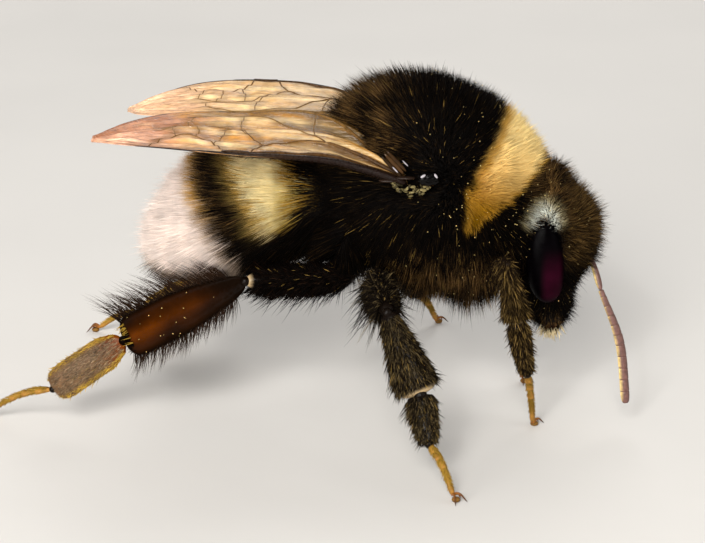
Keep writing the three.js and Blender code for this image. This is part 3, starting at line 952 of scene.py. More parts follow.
TARSUS_ARCH = 0.35  # how high the middle of a foot is lifted
PAD_TOP = 0.2
FOOT_BREADTH = 1.15  # how much broader than thick a foot's small joints are
TARSUS_JOINTS = (0, 0.26, 0.45, 0.62, 1)
FRINGE_TIP = linear(56, 38, 26)
CLAW_ROOT = linear(150, 92, 34)
CLAW_TIP = linear(40, 18, 8)
CLAW_TOOTH = linear(90, 48, 18)


def swell_middle(t):
    return 0.72 + 0.28 * np.sin(math.pi * t)


def widen_down(t):
    return 0.42 + 0.58 * np.minimum(1, 1.3 * t)


def paddle(t):
    return 0.38 + 0.62 * np.sin(0.5 * math.pi * np.minimum(1, 1.5 * t))


def narrow_down(t):
    return 1 - 0.38 * t * t


def blade(t):
    return np.interp(t, (0, 0.25, 0.8, 1), (0.55, 0.96, 1, 0.85))


# how each part's width changes from its start to its end
TAPERS = {
    "front": (swell_middle, widen_down, narrow_down),
    "mid": (swell_middle, widen_down, narrow_down),
    "hind": (swell_middle, paddle, blade),
}


def hollow_outside(angles):
    """The outer face of a hind shin is pressed in between its edges."""
    return 1 - 0.75 * np.maximum(0, np.sin(angles)) ** 3


class LegPart:
    """One stiff part of a leg, with its own measure along and round it."""

    def __init__(self, pair, kind, ends, size, taper, side):
        self.pair, self.kind, self.name = pair, kind, f"{pair} {kind}"
        self.start, self.span = ends[0], ends[1] - ends[0]
        self.length = np.linalg.norm(self.span)
        self.axis = self.span / self.length
        flat = np.array((0, side, 0.3))
        self.width_way = unit(np.cross(self.axis, flat))
        self.depth_way = unit(np.cross(self.width_way, self.axis))
        shares, narrow = rounded(30, 6 if kind in ("femur", "tarsus") else 14)
        widths, depths = (half * (taper(shares) * narrow) for half in size)
        dent = hollow_outside if self.name == "hind tibia" else None
        path = self.start + shares[:, None] * self.span
        self.points, self.faces = limb(path, widths, depths, flat, 28, dent)

    def along(self, points):
        return ((points - self.start) @ self.axis / self.length)[:, None]

    def around(self, points):
        offset = points - self.start
        return np.arctan2(offset @ self.depth_way, offset @ self.width_way)[:, None]

    def places(self, points):
        """Each point's place along and round the part, from 0 to 1."""
        return np.hstack([self.along(points), self.around(points) / (2 * math.pi) + 0.5])


def leg_tint(part):
    """The colour of a leg's shell: amber in a hind leg's basket, pale at the end of a shin."""
    along = part.along(part.points)
    tint = np.broadcast_to(LEG_COLOURS[part.pair]["shell"], part.points.shape)
    if part.name == "hind tibia":
        cloud = np.clip(0.5 + 0.5 * ripple(part.points, 1.6, 51), 0.12, 1)
        middle = step(0.1, 0.6, np.sin(part.around(part.points)))
        return blend(tint, AMBER_SHELL, middle * step(1.01, 0.92, along) * step(0.05, 0.6, along) * cloud)
    if part.name == "hind basitarsus":
        return blend(SILVER_SHELL, AMBER_SHELL, step(0.4, 0.1, along))
    rim = step(0.95, 0.97, along) * (part.kind == "tibia" or part.name == "hind femur")
    return blend(tint, PALE_JOINT, rim)


def leg_hair_tints(part, points, rng):
    """Dark hair with lit tips, golden along the edges of a hind foot's brush and silvery between."""
    dark, pale = (LEG_COLOURS[part.pair][key] for key in ("dark", "lit"))
    one_each = (len(points), 1)
    root = np.broadcast_to(dark * 0.7, points.shape)
    tip = blend(dark, pale, rng.random(one_each) ** (14 if part.kind == "femur" else 4))
    if part.name == "hind basitarsus":
        edge = step(0.93, 0.99, np.abs(np.cos(part.around(points))))
        silver = SILVER * (0.25 + 1.1 * rng.random(one_each))
        root, tip = blend(silver * 0.6, BRASS * 0.5, edge), blend(silver, BRASS, edge)
    gilded = rng.random(one_each) < (0.008 if part.kind == "femur" else 0.03)
    return root, np.where(gilded, GILT, tip)


def leg_hair_density(part):
    """Where hair grows on a leg part: not inside the body, in the joints or in the basket."""

    def density(points):
        along = part.along(points)
        in_body = np.min([reach(points, body_part)[0] for body_part in BODY_PARTS], axis=0) <= 0.93
        to_end = part.kind == "basitarsus" or part.name == "front femur"
        keep = ~in_body * (along > 0.06 * (part.pair != "front")) * (along < (0.985 if to_end else 0.92))
        if part.name == "hind tibia":
            keep = keep * (np.sin(part.around(points)) < -0.1)
        return keep + 1e-6

    return density


def leg_hairs(part, index, seed, long_haired=False):
    """Hair that lies down a leg part towards the foot, with a few longer ones among it."""
    rng = np.random.default_rng(seed)
    femur, brush = part.kind == "femur", part.name == "hind basitarsus"
    upper_arm = part.name == "front femur"
    count = int(LEG_HAIR_COUNT[part.kind] * (LONG_HAIR_SHARE if long_haired else 1))
    roots, normals = Surface(part.points, part.faces).sample(count, seed, leg_hair_density(part))
    along = part.along(roots)
    stand = 0.95 if long_haired else 0.3 if brush else 0.65
    outwards = normals - (normals @ part.axis)[:, None] * part.axis
    ways = outwards * stand + part.axis * 0.85 + 0.16 * rng.normal(size=roots.shape)
    ways = unit(ways - (0, 0, 0.9 * upper_arm))
    lengths = LEG_HAIR[part.kind] * rng.uniform(0.6, 1.25, (count, 1)) * (1.9 if long_haired else 1)
    lengths = lengths * (0.65 if brush or upper_arm else 1)
    below = step(0.3, -0.6, normals[:, 2:3]) * (femur and not upper_arm)
    rear = step(0.2, 0.9, -outwards[:, :1]) * (part.pair == "mid")
    lengths = lengths * (1 + 0.7 * below) * (1 + 0.5 * rear)
    lengths = lengths * (1 - 0.35 * along * (part.kind == "basitarsus"))
    bends = 0.1 * rng.normal(size=roots.shape) + part.axis * 0.12
    root_tints, tip_tints = leg_hair_tints(part, roots, rng)
    shade = rng.uniform(0.7, 1.25, (count, 1))
    places = (np.clip(part.places(roots), 0, 1) + (index, 0)) / (4, 1)
    hairs = hair_set(
        roots, ways, lengths, LEG_HAIR_WIDTH, bends, root_tints * shade, tip_tints * shade, places, seed
    )
    return clump(hairs, 5, 0.25, seed)


def basket_fringe(part, seed, count=900):
    """The long curved hairs along both edges of a hind shin."""
    rng = np.random.default_rng(seed)
    one_each = (count, 1)
    along = rng.uniform(0.1, 0.98, one_each)
    edge = rng.choice((-1, 1), count)[:, None]
    half_width = 0.76 * paddle(along) * rng.uniform(0.8, 1, one_each)
    roots = part.start + along * part.span + part.width_way * edge * half_width
    roots = roots + part.depth_way * rng.uniform(-0.1, 0.08, one_each)
    ways = part.width_way * edge + part.axis * 0.3 + part.depth_way * rng.uniform(-0.1, 0.45, one_each)
    ways = ways + 0.12 * rng.normal(size=roots.shape)
    lengths = rng.uniform(0.3, 1.15, one_each) * np.where(edge * part.width_way[2] > 0, 1.2, 0.75)
    bends = part.axis * 0.28 + part.depth_way * 0.12 + 0.08 * rng.normal(size=roots.shape)
    places = np.hstack([(1 + along) / 4, edge / 4 + 0.5])
    return hair_set(roots, ways, lengths, 0.026, bends, JET, FRINGE_TIP, places, seed)


def ankle_comb(part, seed, count=70):
    """The stiff golden comb across the lower end of a hind shin."""
    rng = np.random.default_rng(seed)
    one_each = (count, 1)
    across = rng.uniform(-0.85, 0.85, one_each)
    roots = part.start + part.span * 0.95 + part.width_way * across * 0.62
    roots = roots + part.depth_way * rng.uniform(0.0, 0.16, one_each)
    ways = unit(part.axis + part.depth_way * 0.35 + 0.25 * rng.normal(size=roots.shape))
    tip = np.where(across * part.width_way[2] + 0.3 * rng.normal(size=one_each) > 0.3, BRASS * 0.8, JET)
    places = np.hstack([0.5 + 0.01 * rng.random(one_each), across / 2 + 0.5])
    lengths = rng.uniform(0.16, 0.34, one_each)
    return hair_set(roots, ways, lengths, LEG_HAIR_WIDTH, 0.1 * ways, tip * 0.5, tip, places, seed)


def foot(name, heel, toe):
    """Four small joints that widen downwards, a pad on the floor and two claws."""
    joints, claws = Shape(), Shape()
    top = np.array((toe[0], toe[1], PAD_TOP))
    path = [heel, (heel + toe) / 2 + (0, 0, TARSUS_ARCH), top]
    for start, end in zip(TARSUS_JOINTS, TARSUS_JOINTS[1:]):
        shares, ends = rounded(10)
        thin, flare = (0.055, 0.05) if end == 1 else (0.075, 0.065)
        radius = (thin + flare * shares**1.5) * ends * FOOT_BREADTH
        tint = FOOT_GOLD * (0.75 + 0.4 * shares.mean())
        line = blend(start, end, shares)
        joints.add(*tube(path, line, radius, (0, 0.01, 1), 12, 1 / FOOT_BREADTH), tint)
    ahead = unit((toe - heel) * (1, 1, 0))
    across = np.array((-ahead[1], ahead[0], 0))
    pad, faces = blob(toe + ahead * 0.16 + (0, 0, 0.085), (0.15, 0.12, 0.1), 8, 14)
    pad[:, 2] = np.maximum(pad[:, 2], 0)
    joints.add(pad, faces, FOOT_GOLD * 0.5)
    for turn in (-1, 1):
        way = ahead + across * turn * 0.55
        claw = [top - ahead * 0.04, top + way * 0.2 + (0, 0, 0.08), top + way * 0.46 - (0, 0, 0.17)]
        shares = np.linspace(0, 1, 12)
        radius = 0.055 * (1 - shares) ** 0.7 + 0.006
        tints = ring_tints(blend(CLAW_ROOT, CLAW_TIP, shares[:, None]), 8)
        claws.add(*tube(claw, shares, radius, (0, 0, 1), 8), tints)
        tooth = [spline(claw, np.array([0.45]))[0], top + way * 0.24 - (0, 0, 0.08)]
        shares = np.linspace(0, 1, 5)
        radius = 0.032 * (1 - shares) + 0.005
        claws.add(*tube(tooth, shares, radius, (0, 0.01, 1), 6), CLAW_TOOTH)
    fine_piece(f"tarsus_{name}", joints, CLAW)
    shape_piece(f"claws_{name}", claws, CLAW)


def foot_hairs(pair, heel, toe, side, seed):
    """Golden hair along the foot's small joints, which run in an arch."""
    line = LegPart(pair, "tarsus", (heel, toe + (0, 0, PAD_TOP)), (0.11, 0.1), narrow_down, side)
    along = line.along(line.points)
    line.points = line.points + 3 * TARSUS_ARCH * along * (1 - along) * (0, 0, 1)
    hairs = leg_hairs(line, 3, seed)
    shape = hairs["root"].shape
    hairs["tip_tint"] = np.broadcast_to(BRASS * 0.9, shape)
    hairs["root_tint"] = np.broadcast_to(FOOT_GOLD * 0.5, shape)
    return hairs


def leg(name, number):
    """A leg's hard parts, its foot and its coat."""
    pair, side_name = name.split("_")
    side = SIDES[side_name]
    points = [mirrored(joint, side) for joint in (LEG_ROOTS[pair], *STANCE[name])]
    hair, long_hair = [], []
    for index, kind in enumerate(LEG_PARTS):
        size = LEG_CORES[f"{pair} {kind}"]
        part = LegPart(pair, kind, points[index : index + 2], size, TAPERS[pair][index], side)
        shape = Shape().add(part.points, part.faces, leg_tint(part))
        if index or pair != "front":
            knuckle = (size[1] * (0.7 if index else 0.45),) * 3
            shape.add(*blob(points[index + 1], knuckle, 12, 16), LEG_COLOURS[pair]["shell"])
        seed = 10 * number + index
        hair.append(leg_hairs(part, index, 1000 + seed))
        if part.name != "hind tibia":
            fine_piece(f"{kind}_{name}", shape, SHELL)
            long_hair.append(leg_hairs(part, index, 2000 + seed, True))
            continue
        fine_piece(f"{kind}_{name}", shape, BASKET)
        fringe = [basket_fringe(part, 1100 + number), ankle_comb(part, 1200 + number)]
        coat_pieces(f"basket_{name}", joined_hairs(fringe), 4, FUR)
        seed = 1300 + number
        spots, ways = Surface(part.points, part.faces).sample(50, seed, lambda at: part.along(at) > 0.2)
        pollen(f"basket_{name}", spots, ways, np.zeros(len(spots)), part.places(spots), seed)
    foot(name, points[3], points[4])
    hair.append(foot_hairs(pair, points[3], points[4], side, 1005 + 10 * number))
    coat_pieces(f"leg_{name}", joined_hairs(hair), 1, FUR)
    coat_pieces(f"leg_long_{name}", joined_hairs(long_hair), 3, FUR)


# ---------------- eyes, mouth and feelers

EYE_BLACK = linear(3, 2, 3)
# the plum of a painted reflection in the eye
EYE_PLUM_REFLECTION = linear(30, 3, 14)
SHELL_BLACK = linear(12, 9, 8)
LIP_BROWN = linear(52, 30, 18)
TONGUE_BROWN = linear(84, 44, 20)
JAW_TIP = linear(92, 44, 24)
BRISTLE_PALE = linear(240, 220, 176)
MANDIBLE = [(6.95, 1.25, 4.6), (7.12, 1.1, 3.75), (7.0, 0.45, 3.25)]
SCAPE_ROOT = (7.9, 0.35, 6.6)
FEELERS = {
    "right": [(8.8, 1.4, 5.1), (9.5, 1.6, 3.3), (9.8, 1.8, 1.05)],
    "left": [(8.45, 2.1, 5.3), (8.0, 3.1, 3.9), (7.25, 3.7, 2.5)],
}
FEELER_JOINTS = 10
MAUVE = linear(104, 70, 62)
# the pale colour of a painted highlight along the feelers
FEELER_HIGHLIGHT = linear(226, 198, 130)


def eye(side_name, side):
    """A tall eye set in the side of the head, whose hind edge is drawn in at the middle."""

    def bend(points, ball_points):
        moved = points.copy()
        moved[:, 0] -= EYE["lean"] * points[:, 2]
        moved[:, 1] -= EYE["toe"] * points[:, 0]
        moved[:, 0] *= 1 + 0.1 * ball_points[:, 2] ** 2 * (points[:, 0] < 0)
        return moved

    points, faces = blob(EYE["centre"], EYE["half"], 60, 64, bend)
    x, z = points[:, :1], points[:, 2:3]
    # a painted reflection: plum in a patch low on the front of the eye
    plum_reflection = step(6.6, 6.95, x) * step(7.52, 7.3, x) * step(7.0, 5.9, z) * step(4.7, 5.2, z)
    if side < 0:
        faces = [part[:, ::-1] for part in faces]
    shape = Shape().add(mirrored(points, side), faces, blend(EYE_BLACK, EYE_PLUM_REFLECTION, plum_reflection))
    fine_piece(f"eye_{side_name}", shape, EYE_GLASS)


def ocelli():
    """The three simple eyes on the crown."""
    shape = Shape()
    for place in ((7.35, 0, 8.98), (7.15, 0.34, 9.02), (7.15, -0.34, 9.02)):
        shape.add(*blob(place, (0.13, 0.13, 0.13), 12, 16), EYE_BLACK)
    shape_piece("ocelli", shape, EYE_GLASS)


def mouth():
    """Face plate, lip and folded tongue."""
    shape = Shape()
    shape.add(*blob((7.6, 0, 4.95), (0.34, 0.85, 0.75), 20, 28), SHELL_BLACK)
    shape.add(*blob((7.48, 0, 3.95), (0.2, 0.6, 0.3), 14, 20), LIP_BROWN)
    shares, ends = rounded(18)
    size = (0.16 - 0.07 * shares) * ends
    for turn in (-1, 1):
        path = [(7.45, 0.16 * turn, 3.7), (6.6, 0.2 * turn, 3.55), (5.7, 0.12 * turn, 4.35)]
        shape.add(*tube(path, shares, size, (0, turn, 0.2), 12, 0.7), TONGUE_BROWN)
    shape_piece("mouth", shape, SHELL)


def mandible(side_name, side):
    """A broad jaw with a fan of pale bristles at its tip."""
    path = mirrored(MANDIBLE, side)
    shares, ends = rounded(20)
    widths = (0.34 - 0.12 * shares + 0.05 * shares**6) * ends
    depths = (0.26 - 0.14 * shares) * ends
    points, faces = limb(spline(path, shares), widths, depths, (0, side, 0), 18)
    tints = blend(SHELL_BLACK, JAW_TIP, step(3.9, 3.3, points[:, 2:3]))
    fine_piece(f"mandible_{side_name}", Shape().add(points, faces, tints), SHELL)
    rng = np.random.default_rng(61 + side)
    cover, normals = Surface(points, faces).sample(1300, 63)
    ways = normals + (0, 0, -0.8) + 0.2 * rng.normal(size=cover.shape)
    one_each = (len(cover), 1)
    dark = hair_set(
        cover, ways, rng.uniform(0.08, 0.2, one_each), 0.022, 0.1 * rng.normal(size=cover.shape),
        JET, LIT_BROWN * rng.random(one_each) ** 3, rng.random((len(cover), 2)), 61,
    )
    fan = spline(path, rng.uniform(0.65, 0.95, 70)) + (0, 0.16 * side, 0)
    fan = fan + (0.16, 0.06, 0.05) * rng.normal(size=fan.shape)
    ways = np.array((0.0, 0.35 * side, -0.9)) + (0.5, 0.25, 0.1) * rng.normal(size=fan.shape)
    pale = hair_set(
        fan, ways, rng.uniform(0.26, 0.46, (len(fan), 1)), 0.065, 0.08 * rng.normal(size=fan.shape),
        BRISTLE_PALE * 0.5, BRISTLE_PALE, rng.random((len(fan), 2)), 62,
    )
    coat_pieces(f"bristles_{side_name}", joined_hairs([dark, pale]), 2, FUR)


def feeler_part(path, shares, size, side):
    """One joint of a feeler, with a painted highlight on the side that faces back, up and to the bee's
    right.
    """
    points, faces = tube(path, shares, size, (0, side, 0), 14)
    highlight_facing = Surface(points, faces).normals @ unit(np.array((-0.9, -0.25, 0.35)))
    return points, faces, blend(MAUVE * 0.8, FEELER_HIGHLIGHT, step(0.6, 0.95, highlight_facing)[:, None])


def feeler(side_name, side):
    """A long first joint, a small second one and ten alike."""
    elbow, bend, tip = mirrored(FEELERS[side_name], side)
    root = mirrored(SCAPE_ROOT, side)
    shares, ends = rounded(20)
    arc = [root, (root + elbow) / 2 + (0.12, 0, 0.1), elbow]
    scape = Shape().add(*feeler_part(arc, shares, (0.085 + 0.04 * shares) * ends, side))
    fine_piece(f"scape_{side_name}", scape, FEELER)
    whip = Shape()
    stops = np.append(0, np.linspace(0.06, 1, FEELER_JOINTS + 1))
    shares, ends = rounded(10, 10)
    for index, (start, end) in enumerate(zip(stops, stops[1:])):
        thick = 0.1 + 0.065 * min(1, index / 5)
        size = thick * (0.98 + 0.03 * shares) * (0.9 + 0.1 * ends)
        if index == FEELER_JOINTS:
            size = size * (1 - 0.35 * shares**3)
        whip.add(*feeler_part([elbow, bend, tip], blend(start, end, shares), size, side))
    fine_piece(f"flagellum_{side_name}", whip, FEELER)


# ---------------- wings

FOREWING = {
    "right": {
        "front": [(2.1, 3.0, 9.35), (-0.5, 3.4, 10.2), (-3.5, 4.1, 10.6), (-6.0, 4.05, 10.78),
                  (-7.7, 3.7, 10.78), (-8.65, 3.25, 10.74)],
        "hind": [(1.8, 2.2, 9.95), (-0.8, 0.35, 10.98), (-4.0, 0.1, 10.97), (-6.4, 0.3, 10.9),
                 (-7.8, 1.3, 10.82), (-8.65, 2.8, 10.74)],
    },
    "left": {
        "front": [(2.1, 3.0, 9.35), (-0.6, 3.4, 10.75), (-3.6, 3.75, 11.03), (-5.8, 3.55, 10.95),
                  (-7.3, 2.9, 10.65), (-8.2, 2.0, 10.4)],
        "hind": [(1.8, 2.2, 9.95), (-0.9, -0.05, 10.8), (-4.0, -0.25, 10.86), (-6.4, -0.1, 10.76),
                 (-7.6, 0.6, 10.58), (-8.2, 1.6, 10.4)],
    },
}
HINDWING = {
    "front": [(1.6, 2.4, 9.2), (-0.6, 2.6, 10.05), (-3.0, 2.9, 10.4), (-5.4, 2.6, 10.55), (-6.6, 2.2, 10.6)],
    "hind": [(1.4, 1.9, 9.4), (-0.8, 1.4, 10.4), (-3.0, 1.2, 10.65), (-5.2, 1.1, 10.66), (-6.5, 1.7, 10.64)],
}
# Each vein runs through places on its wing, (share of its length, share from front to hind
# edge), and has a radius at each end in mm.
FORE_VEINS = {
    "costa": ([(0, 0.03), (0.2, 0.025), (0.5, 0.018), (0.66, 0.01)], 0.15, 0.04),
    "radius": ([(0.01, 0.16), (0.2, 0.085), (0.42, 0.05), (0.5, 0.035)], 0.09, 0.07),
    "stigma": ([(0.49, 0.03), (0.535, 0.04), (0.58, 0.02)], 0.11, 0.09),
    "margin": ([(0.6, 0.01), (0.7, 0.005), (0.86, 0.005)], 0.045, 0.025),
    "rolled": ([(0.04, 0.975), (0.2, 0.985), (0.6, 0.985)], 0.06, 0.04),
    "stem": ([(0.01, 0.32), (0.13, 0.36), (0.256, 0.37)], 0.085, 0.06),
    "basal": ([(0.256, 0.37), (0.33, 0.36), (0.416, 0.3), (0.46, 0.2), (0.487, 0.06)], 0.05, 0.045),
    "cubitus": (
        [(0.256, 0.37), (0.34, 0.55), (0.416, 0.76), (0.5, 0.86), (0.6, 0.87), (0.7, 0.8)], 0.05, 0.03
    ),
    "anal": ([(0.01, 0.6), (0.12, 0.74), (0.28, 0.9), (0.42, 0.96)], 0.07, 0.035),
    "cross_anal": ([(0.29, 0.44), (0.3, 0.65), (0.29, 0.9)], 0.035, 0.03),
    "media": ([(0.45, 0.24), (0.5, 0.42), (0.56, 0.58), (0.64, 0.62), (0.72, 0.58), (0.8, 0.5)], 0.04, 0.02),
    "disc": ([(0.5, 0.42), (0.533, 0.62), (0.53, 0.86)], 0.035, 0.03),
    "radial": (
        [(0.575, 0.06), (0.6, 0.2), (0.64, 0.31), (0.69, 0.34), (0.75, 0.29), (0.815, 0.03)], 0.04, 0.03
    ),
    "cross_1": ([(0.61, 0.24), (0.585, 0.42), (0.58, 0.6)], 0.032, 0.028),
    "cross_2": ([(0.67, 0.33), (0.665, 0.48), (0.68, 0.61)], 0.03, 0.025),
    "cross_3": ([(0.735, 0.31), (0.745, 0.44), (0.755, 0.55)], 0.03, 0.022),
    "recurrent": ([(0.7, 0.6), (0.71, 0.7), (0.69, 0.81)], 0.028, 0.022),
}
HIND_VEINS = {
    "costa": ([(0, 0.03), (0.3, 0.02), (0.6, 0.02)], 0.06, 0.035),
    "stem": ([(0.01, 0.35), (0.3, 0.4), (0.55, 0.35), (0.8, 0.3)], 0.05, 0.02),
    "anal": ([(0.01, 0.7), (0.25, 0.8), (0.5, 0.75)], 0.045, 0.02),
    "cross": ([(0.42, 0.03), (0.44, 0.38)], 0.03, 0.025),
}
AMBER = linear(198, 134, 42)
ORANGE = linear(206, 128, 24)
ROSE = linear(150, 84, 72)
BLUSH = linear(222, 164, 142)
PALE_MEMBRANE = linear(238, 206, 158)
SHEEN = linear(250, 218, 158)
UMBRE = linear(70, 48, 26)
VEIN_DARK = linear(24, 14, 10)
VEIN_GOLD = linear(112, 82, 40)
VEIN_AMBER = linear(98, 66, 28)
RIM = linear(120, 82, 22)
MEMBRANE_THICKNESS = 0.02
WING_SPAN = (11, 4)  # about how long and broad a forewing is, in mm
FINE_VEIN = 0.06  # veins below this radius at their start are drawn thinner


def wing_edge(points, side):
    """Finds points of an edge by their share of its length along X."""
    line = spline(mirrored(points, side), np.linspace(0, 1, 240))
    share = (line[:, 0] - line[0, 0]) / (line[-1, 0] - line[0, 0])
    return lambda wanted: np.hstack([np.interp(wanted, share, line[:, k]) for k in range(3)])


def fold(folds, across):
    """-1 in the valleys and 1 on the ridges of the pleats that run out from a wing's root."""
    return np.sin(2 * math.pi * folds * across + 0.8)


class Wing:
    """A rippled sheet between a front and a hind edge."""

    def __init__(self, edges, side, seed, folds):
        self.front, self.hind = (wing_edge(edges[key], side) for key in ("front", "hind"))
        self.seed, self.folds = seed, folds

    def at(self, along, across):
        """The points at shares of the length and of the way from the front to the hind edge."""
        points = blend(self.front(along), self.hind(along), across)
        place = np.hstack([along, across]) * WING_SPAN
        inner = step(0, 0.12, along) * step(0, 0.08, across) * step(1, 0.9, across)
        pleats = fold(self.folds, across) * 0.14 * step(0.7, 0.05, along)
        fans = 0.05 * np.sin(2 * math.pi * (9 * across + 3 * along)) * step(0.35, 0.75, along)
        crinkle = 0.05 * ripple(place * (0.45, 1), 1.3, self.seed) + 0.02 * ripple(place * (0.4, 1), 0.5, 3)
        return points + (pleats + fans + crinkle) * inner * (0, 0, 1)

    def sheet(self, rows=150, columns=56):
        """The membrane's points and faces, and each top point's shares along and across it."""
        shares = np.meshgrid(np.linspace(0, 1, rows), np.linspace(0, 1, columns), indexing="ij")
        along, across = (share.reshape(-1, 1) for share in shares)
        top = self.at(along, across)
        points = np.vstack([top, top - (0, 0, MEMBRANE_THICKNESS)])
        quads = grid_faces(rows, columns, False)
        count = rows * columns
        index = np.arange(count).reshape(rows, columns)
        rim = np.concatenate([index[0, :], index[1:, -1], index[-1, -2::-1], index[-2:0:-1, 0]])
        after = np.roll(rim, -1)
        walls = np.stack([rim, after, after + count, rim + count], -1)
        return points, [quads, quads[:, ::-1] + count, walls[:, ::-1]], along, across


def flat_vein(places, shares):
    """A vein's line as shares along and across the wing."""
    return spline([(along, across, 0) for along, across in places], shares)


def vein_finder(veins):
    """A function of places on a wing: 1 beside a vein and 0 in the middle of a cell."""
    lines = [flat_vein(places, np.linspace(0, 1, 60)) for places, *_ in veins.values()]
    spots = np.concatenate(lines) * (*WING_SPAN, 0)

    def near_vein(along, across):
        places = np.hstack([along, across, 0 * along]) * (*WING_SPAN, 0)
        return step(0.42, 0.04, nearest(spots, places)[1])

    return near_vein


def membrane_tints(veins, folds, along, across, dusk):
    """Amber cells with painted light along one side of each vein and painted shade beside the veins, painted
    sheen in fine streaks that run out from the root, and painted highlights and shade on the pleats near the
    root.
    """
    place = np.hstack([along, across]) * WING_SPAN
    slanted = np.hstack([place[:, :1] * 0.1, place[:, 1:] - 0.16 * place[:, :1]])
    near_vein = vein_finder(veins)
    # painted shade beside the veins, and painted light on one side of each vein with painted shade on the
    # other
    shade = near_vein(along, across)
    relief = near_vein(along, across + 0.05) - near_vein(along, across - 0.05)
    front = step(0.22, 0.1, across) * step(0.58, 0.45, along) * step(0.2, 0.35, along)
    tip = step(0.55, 0.85, along + 0.08 * ripple(place, 2.0, 71))
    streaks = step(-0.8, 1.0, 0.5 * ripple(slanted, 0.3, 72) + 0.7 * ripple(slanted, 0.9, 74))
    base, root_half = step(0.6, 0.2, along), step(0.5, 0.25, along)
    ridge = 0.7 * fold(folds, across) + 0.5 * fold(3.1 * folds, across + 0.1 * along)
    rim = step(0.84 - 0.2 * root_half, 0.95 - 0.12 * root_half, across) * step(0.7, 0.55, along)
    blush = blend(BLUSH, ROSE, step(0.25, 0.6, across) * dusk) * (0.75 + 0.5 * streaks)
    tint = blend(AMBER, ORANGE, front)
    # painted sheen in the streaks and at the tip, and painted shade in amber beside the veins
    for colour, share in ((SHEEN, 0.75 * streaks), (blush, 0.75 * tip), (VEIN_AMBER, 0.55 * shade)):
        tint = blend(tint, colour, share)
    # painted light on one side of each vein and painted shade on the other
    tint = tint * (1 + 0.4 * relief * (1 - 0.5 * tip))
    for colour, share in (
        # painted shade in the pleats' valleys and painted highlights on their ridges near the root
        (UMBRE, 0.85 * base * step(0.15, -0.5, ridge)),
        (SHEEN, 0.4 * base * step(0.3, 0.9, ridge)),
        (RIM * (1 - 0.7 * root_half), 0.85 * rim),
        (UMBRE, 0.85 * step(0.12, 0.06, across) * step(0.55, 0.4, along)),
    ):
        tint = blend(tint, colour, share)
    return tint


def vein_tints(flat):
    """A vein's colour along its line: dark at the wing's root and front, golden to the back."""
    along, across = flat[:, :1], flat[:, 1:2]
    dark = np.clip(step(0.4, 0.0, along) * 0.8 + step(0.12, 0.0, across), 0, 1)
    return blend(blend(VEIN_AMBER, VEIN_DARK, dark), VEIN_GOLD, step(0.25, 0.7, across) * (1 - dark))


def wing(name, edges, veins, side, seed, folds):
    """A wing's membrane, its veins and a forewing's bristles. The left wings catch more light."""
    made = Wing(edges, side, seed, folds)
    points, faces, along, across = made.sheet()
    tints = membrane_tints(veins, folds, along, across, 0.9 if side < 0 else 0.2)
    if side > 0:
        faces = [part[:, ::-1] for part in faces]
        tints = blend(tints * 1.1, PALE_MEMBRANE, 0.35)
    fine_piece(name, Shape().add(points, faces, np.vstack([tints, tints])), MEMBRANE)
    lines = Shape()
    for places, start, end in veins.values():
        shares = np.linspace(0, 1, 6 + 8 * len(places))
        flat = flat_vein(places, shares)
        line = made.at(flat[:, :1], flat[:, 1:2]) - (0, 0, MEMBRANE_THICKNESS / 2)
        radius = blend(start, end, shares) * (0.72 if start < FINE_VEIN else 1)
        radius[0] = radius[-1] = end * 0.3
        lines.add(*limb(line, radius, radius, (0, 0.01, 1), 8), ring_tints(vein_tints(flat), 8))
    shape_piece(f"veins_{name}", lines, VEIN)
    if name.startswith("forewing"):
        edge_bristles(name, made, side, seed)


def edge_bristles(name, made, side, seed, count=420):
    """Short stiff hairs along the thick front edge of a forewing."""
    rng = np.random.default_rng(seed)
    one_each = (count, 1)
    along = rng.uniform(0.08, 0.6, one_each)
    roots = made.at(along, rng.uniform(0, 0.03, one_each)) - (0, 0, 0.04)
    ways = np.array((-1.0, 0.7 * side, -0.5)) + 0.3 * rng.normal(size=roots.shape)
    hairs = hair_set(
        roots, ways, rng.uniform(0.1, 0.2, one_each), 0.022, 0.05 * rng.normal(size=roots.shape),
        VEIN_DARK, VEIN_DARK * 2, np.hstack([along, rng.random(one_each)]), seed,
    )
    coat_pieces(name, hairs, 1, FUR)


PLATE_PALE = linear(164, 148, 100)
PLATE_BROWN = linear(30, 20, 14)
SCALE_RIM = linear(60, 38, 18)
GLINT_SILVER = linear(150, 144, 148)
GLINTS = (((2.62, 3.47, 9.8), 0.6), ((3.05, 3.44, 9.8), -1.1))  # places on the scale, and leans
JOINT_GLINTS = (((1.66, 3.12, 9.9), -0.8), ((2.0, 3.08, 10.12), -0.8))
JOINT_BASES = (((2.0, 3.08, 9.6), 0), ((1.45, 3.12, 9.5), 0))
JOINT_RODS = ((-0.12, 0.3), (0, 0.7), (0.11, 0.4))  # how high each lies, and its brightness


def crumple(points, ball_points):
    """Dents in a blob's surface."""
    return points * (1 + 0.09 * ripple(ball_points, 0.55, 77))


def leaning(place, side, half, lean, rings, columns, bend=None):
    """A small blob on a side, turned about its middle in the plane that faces sideways."""
    points, faces = blob(mirrored(place, side), half, rings, columns, bend)
    centre = points.mean(0)
    x, y, z = (points - centre).T
    turn_cos, turn_sin = math.cos(lean), math.sin(lean)
    return np.stack([x * turn_cos - z * turn_sin, y, x * turn_sin + z * turn_cos], -1) + centre, faces


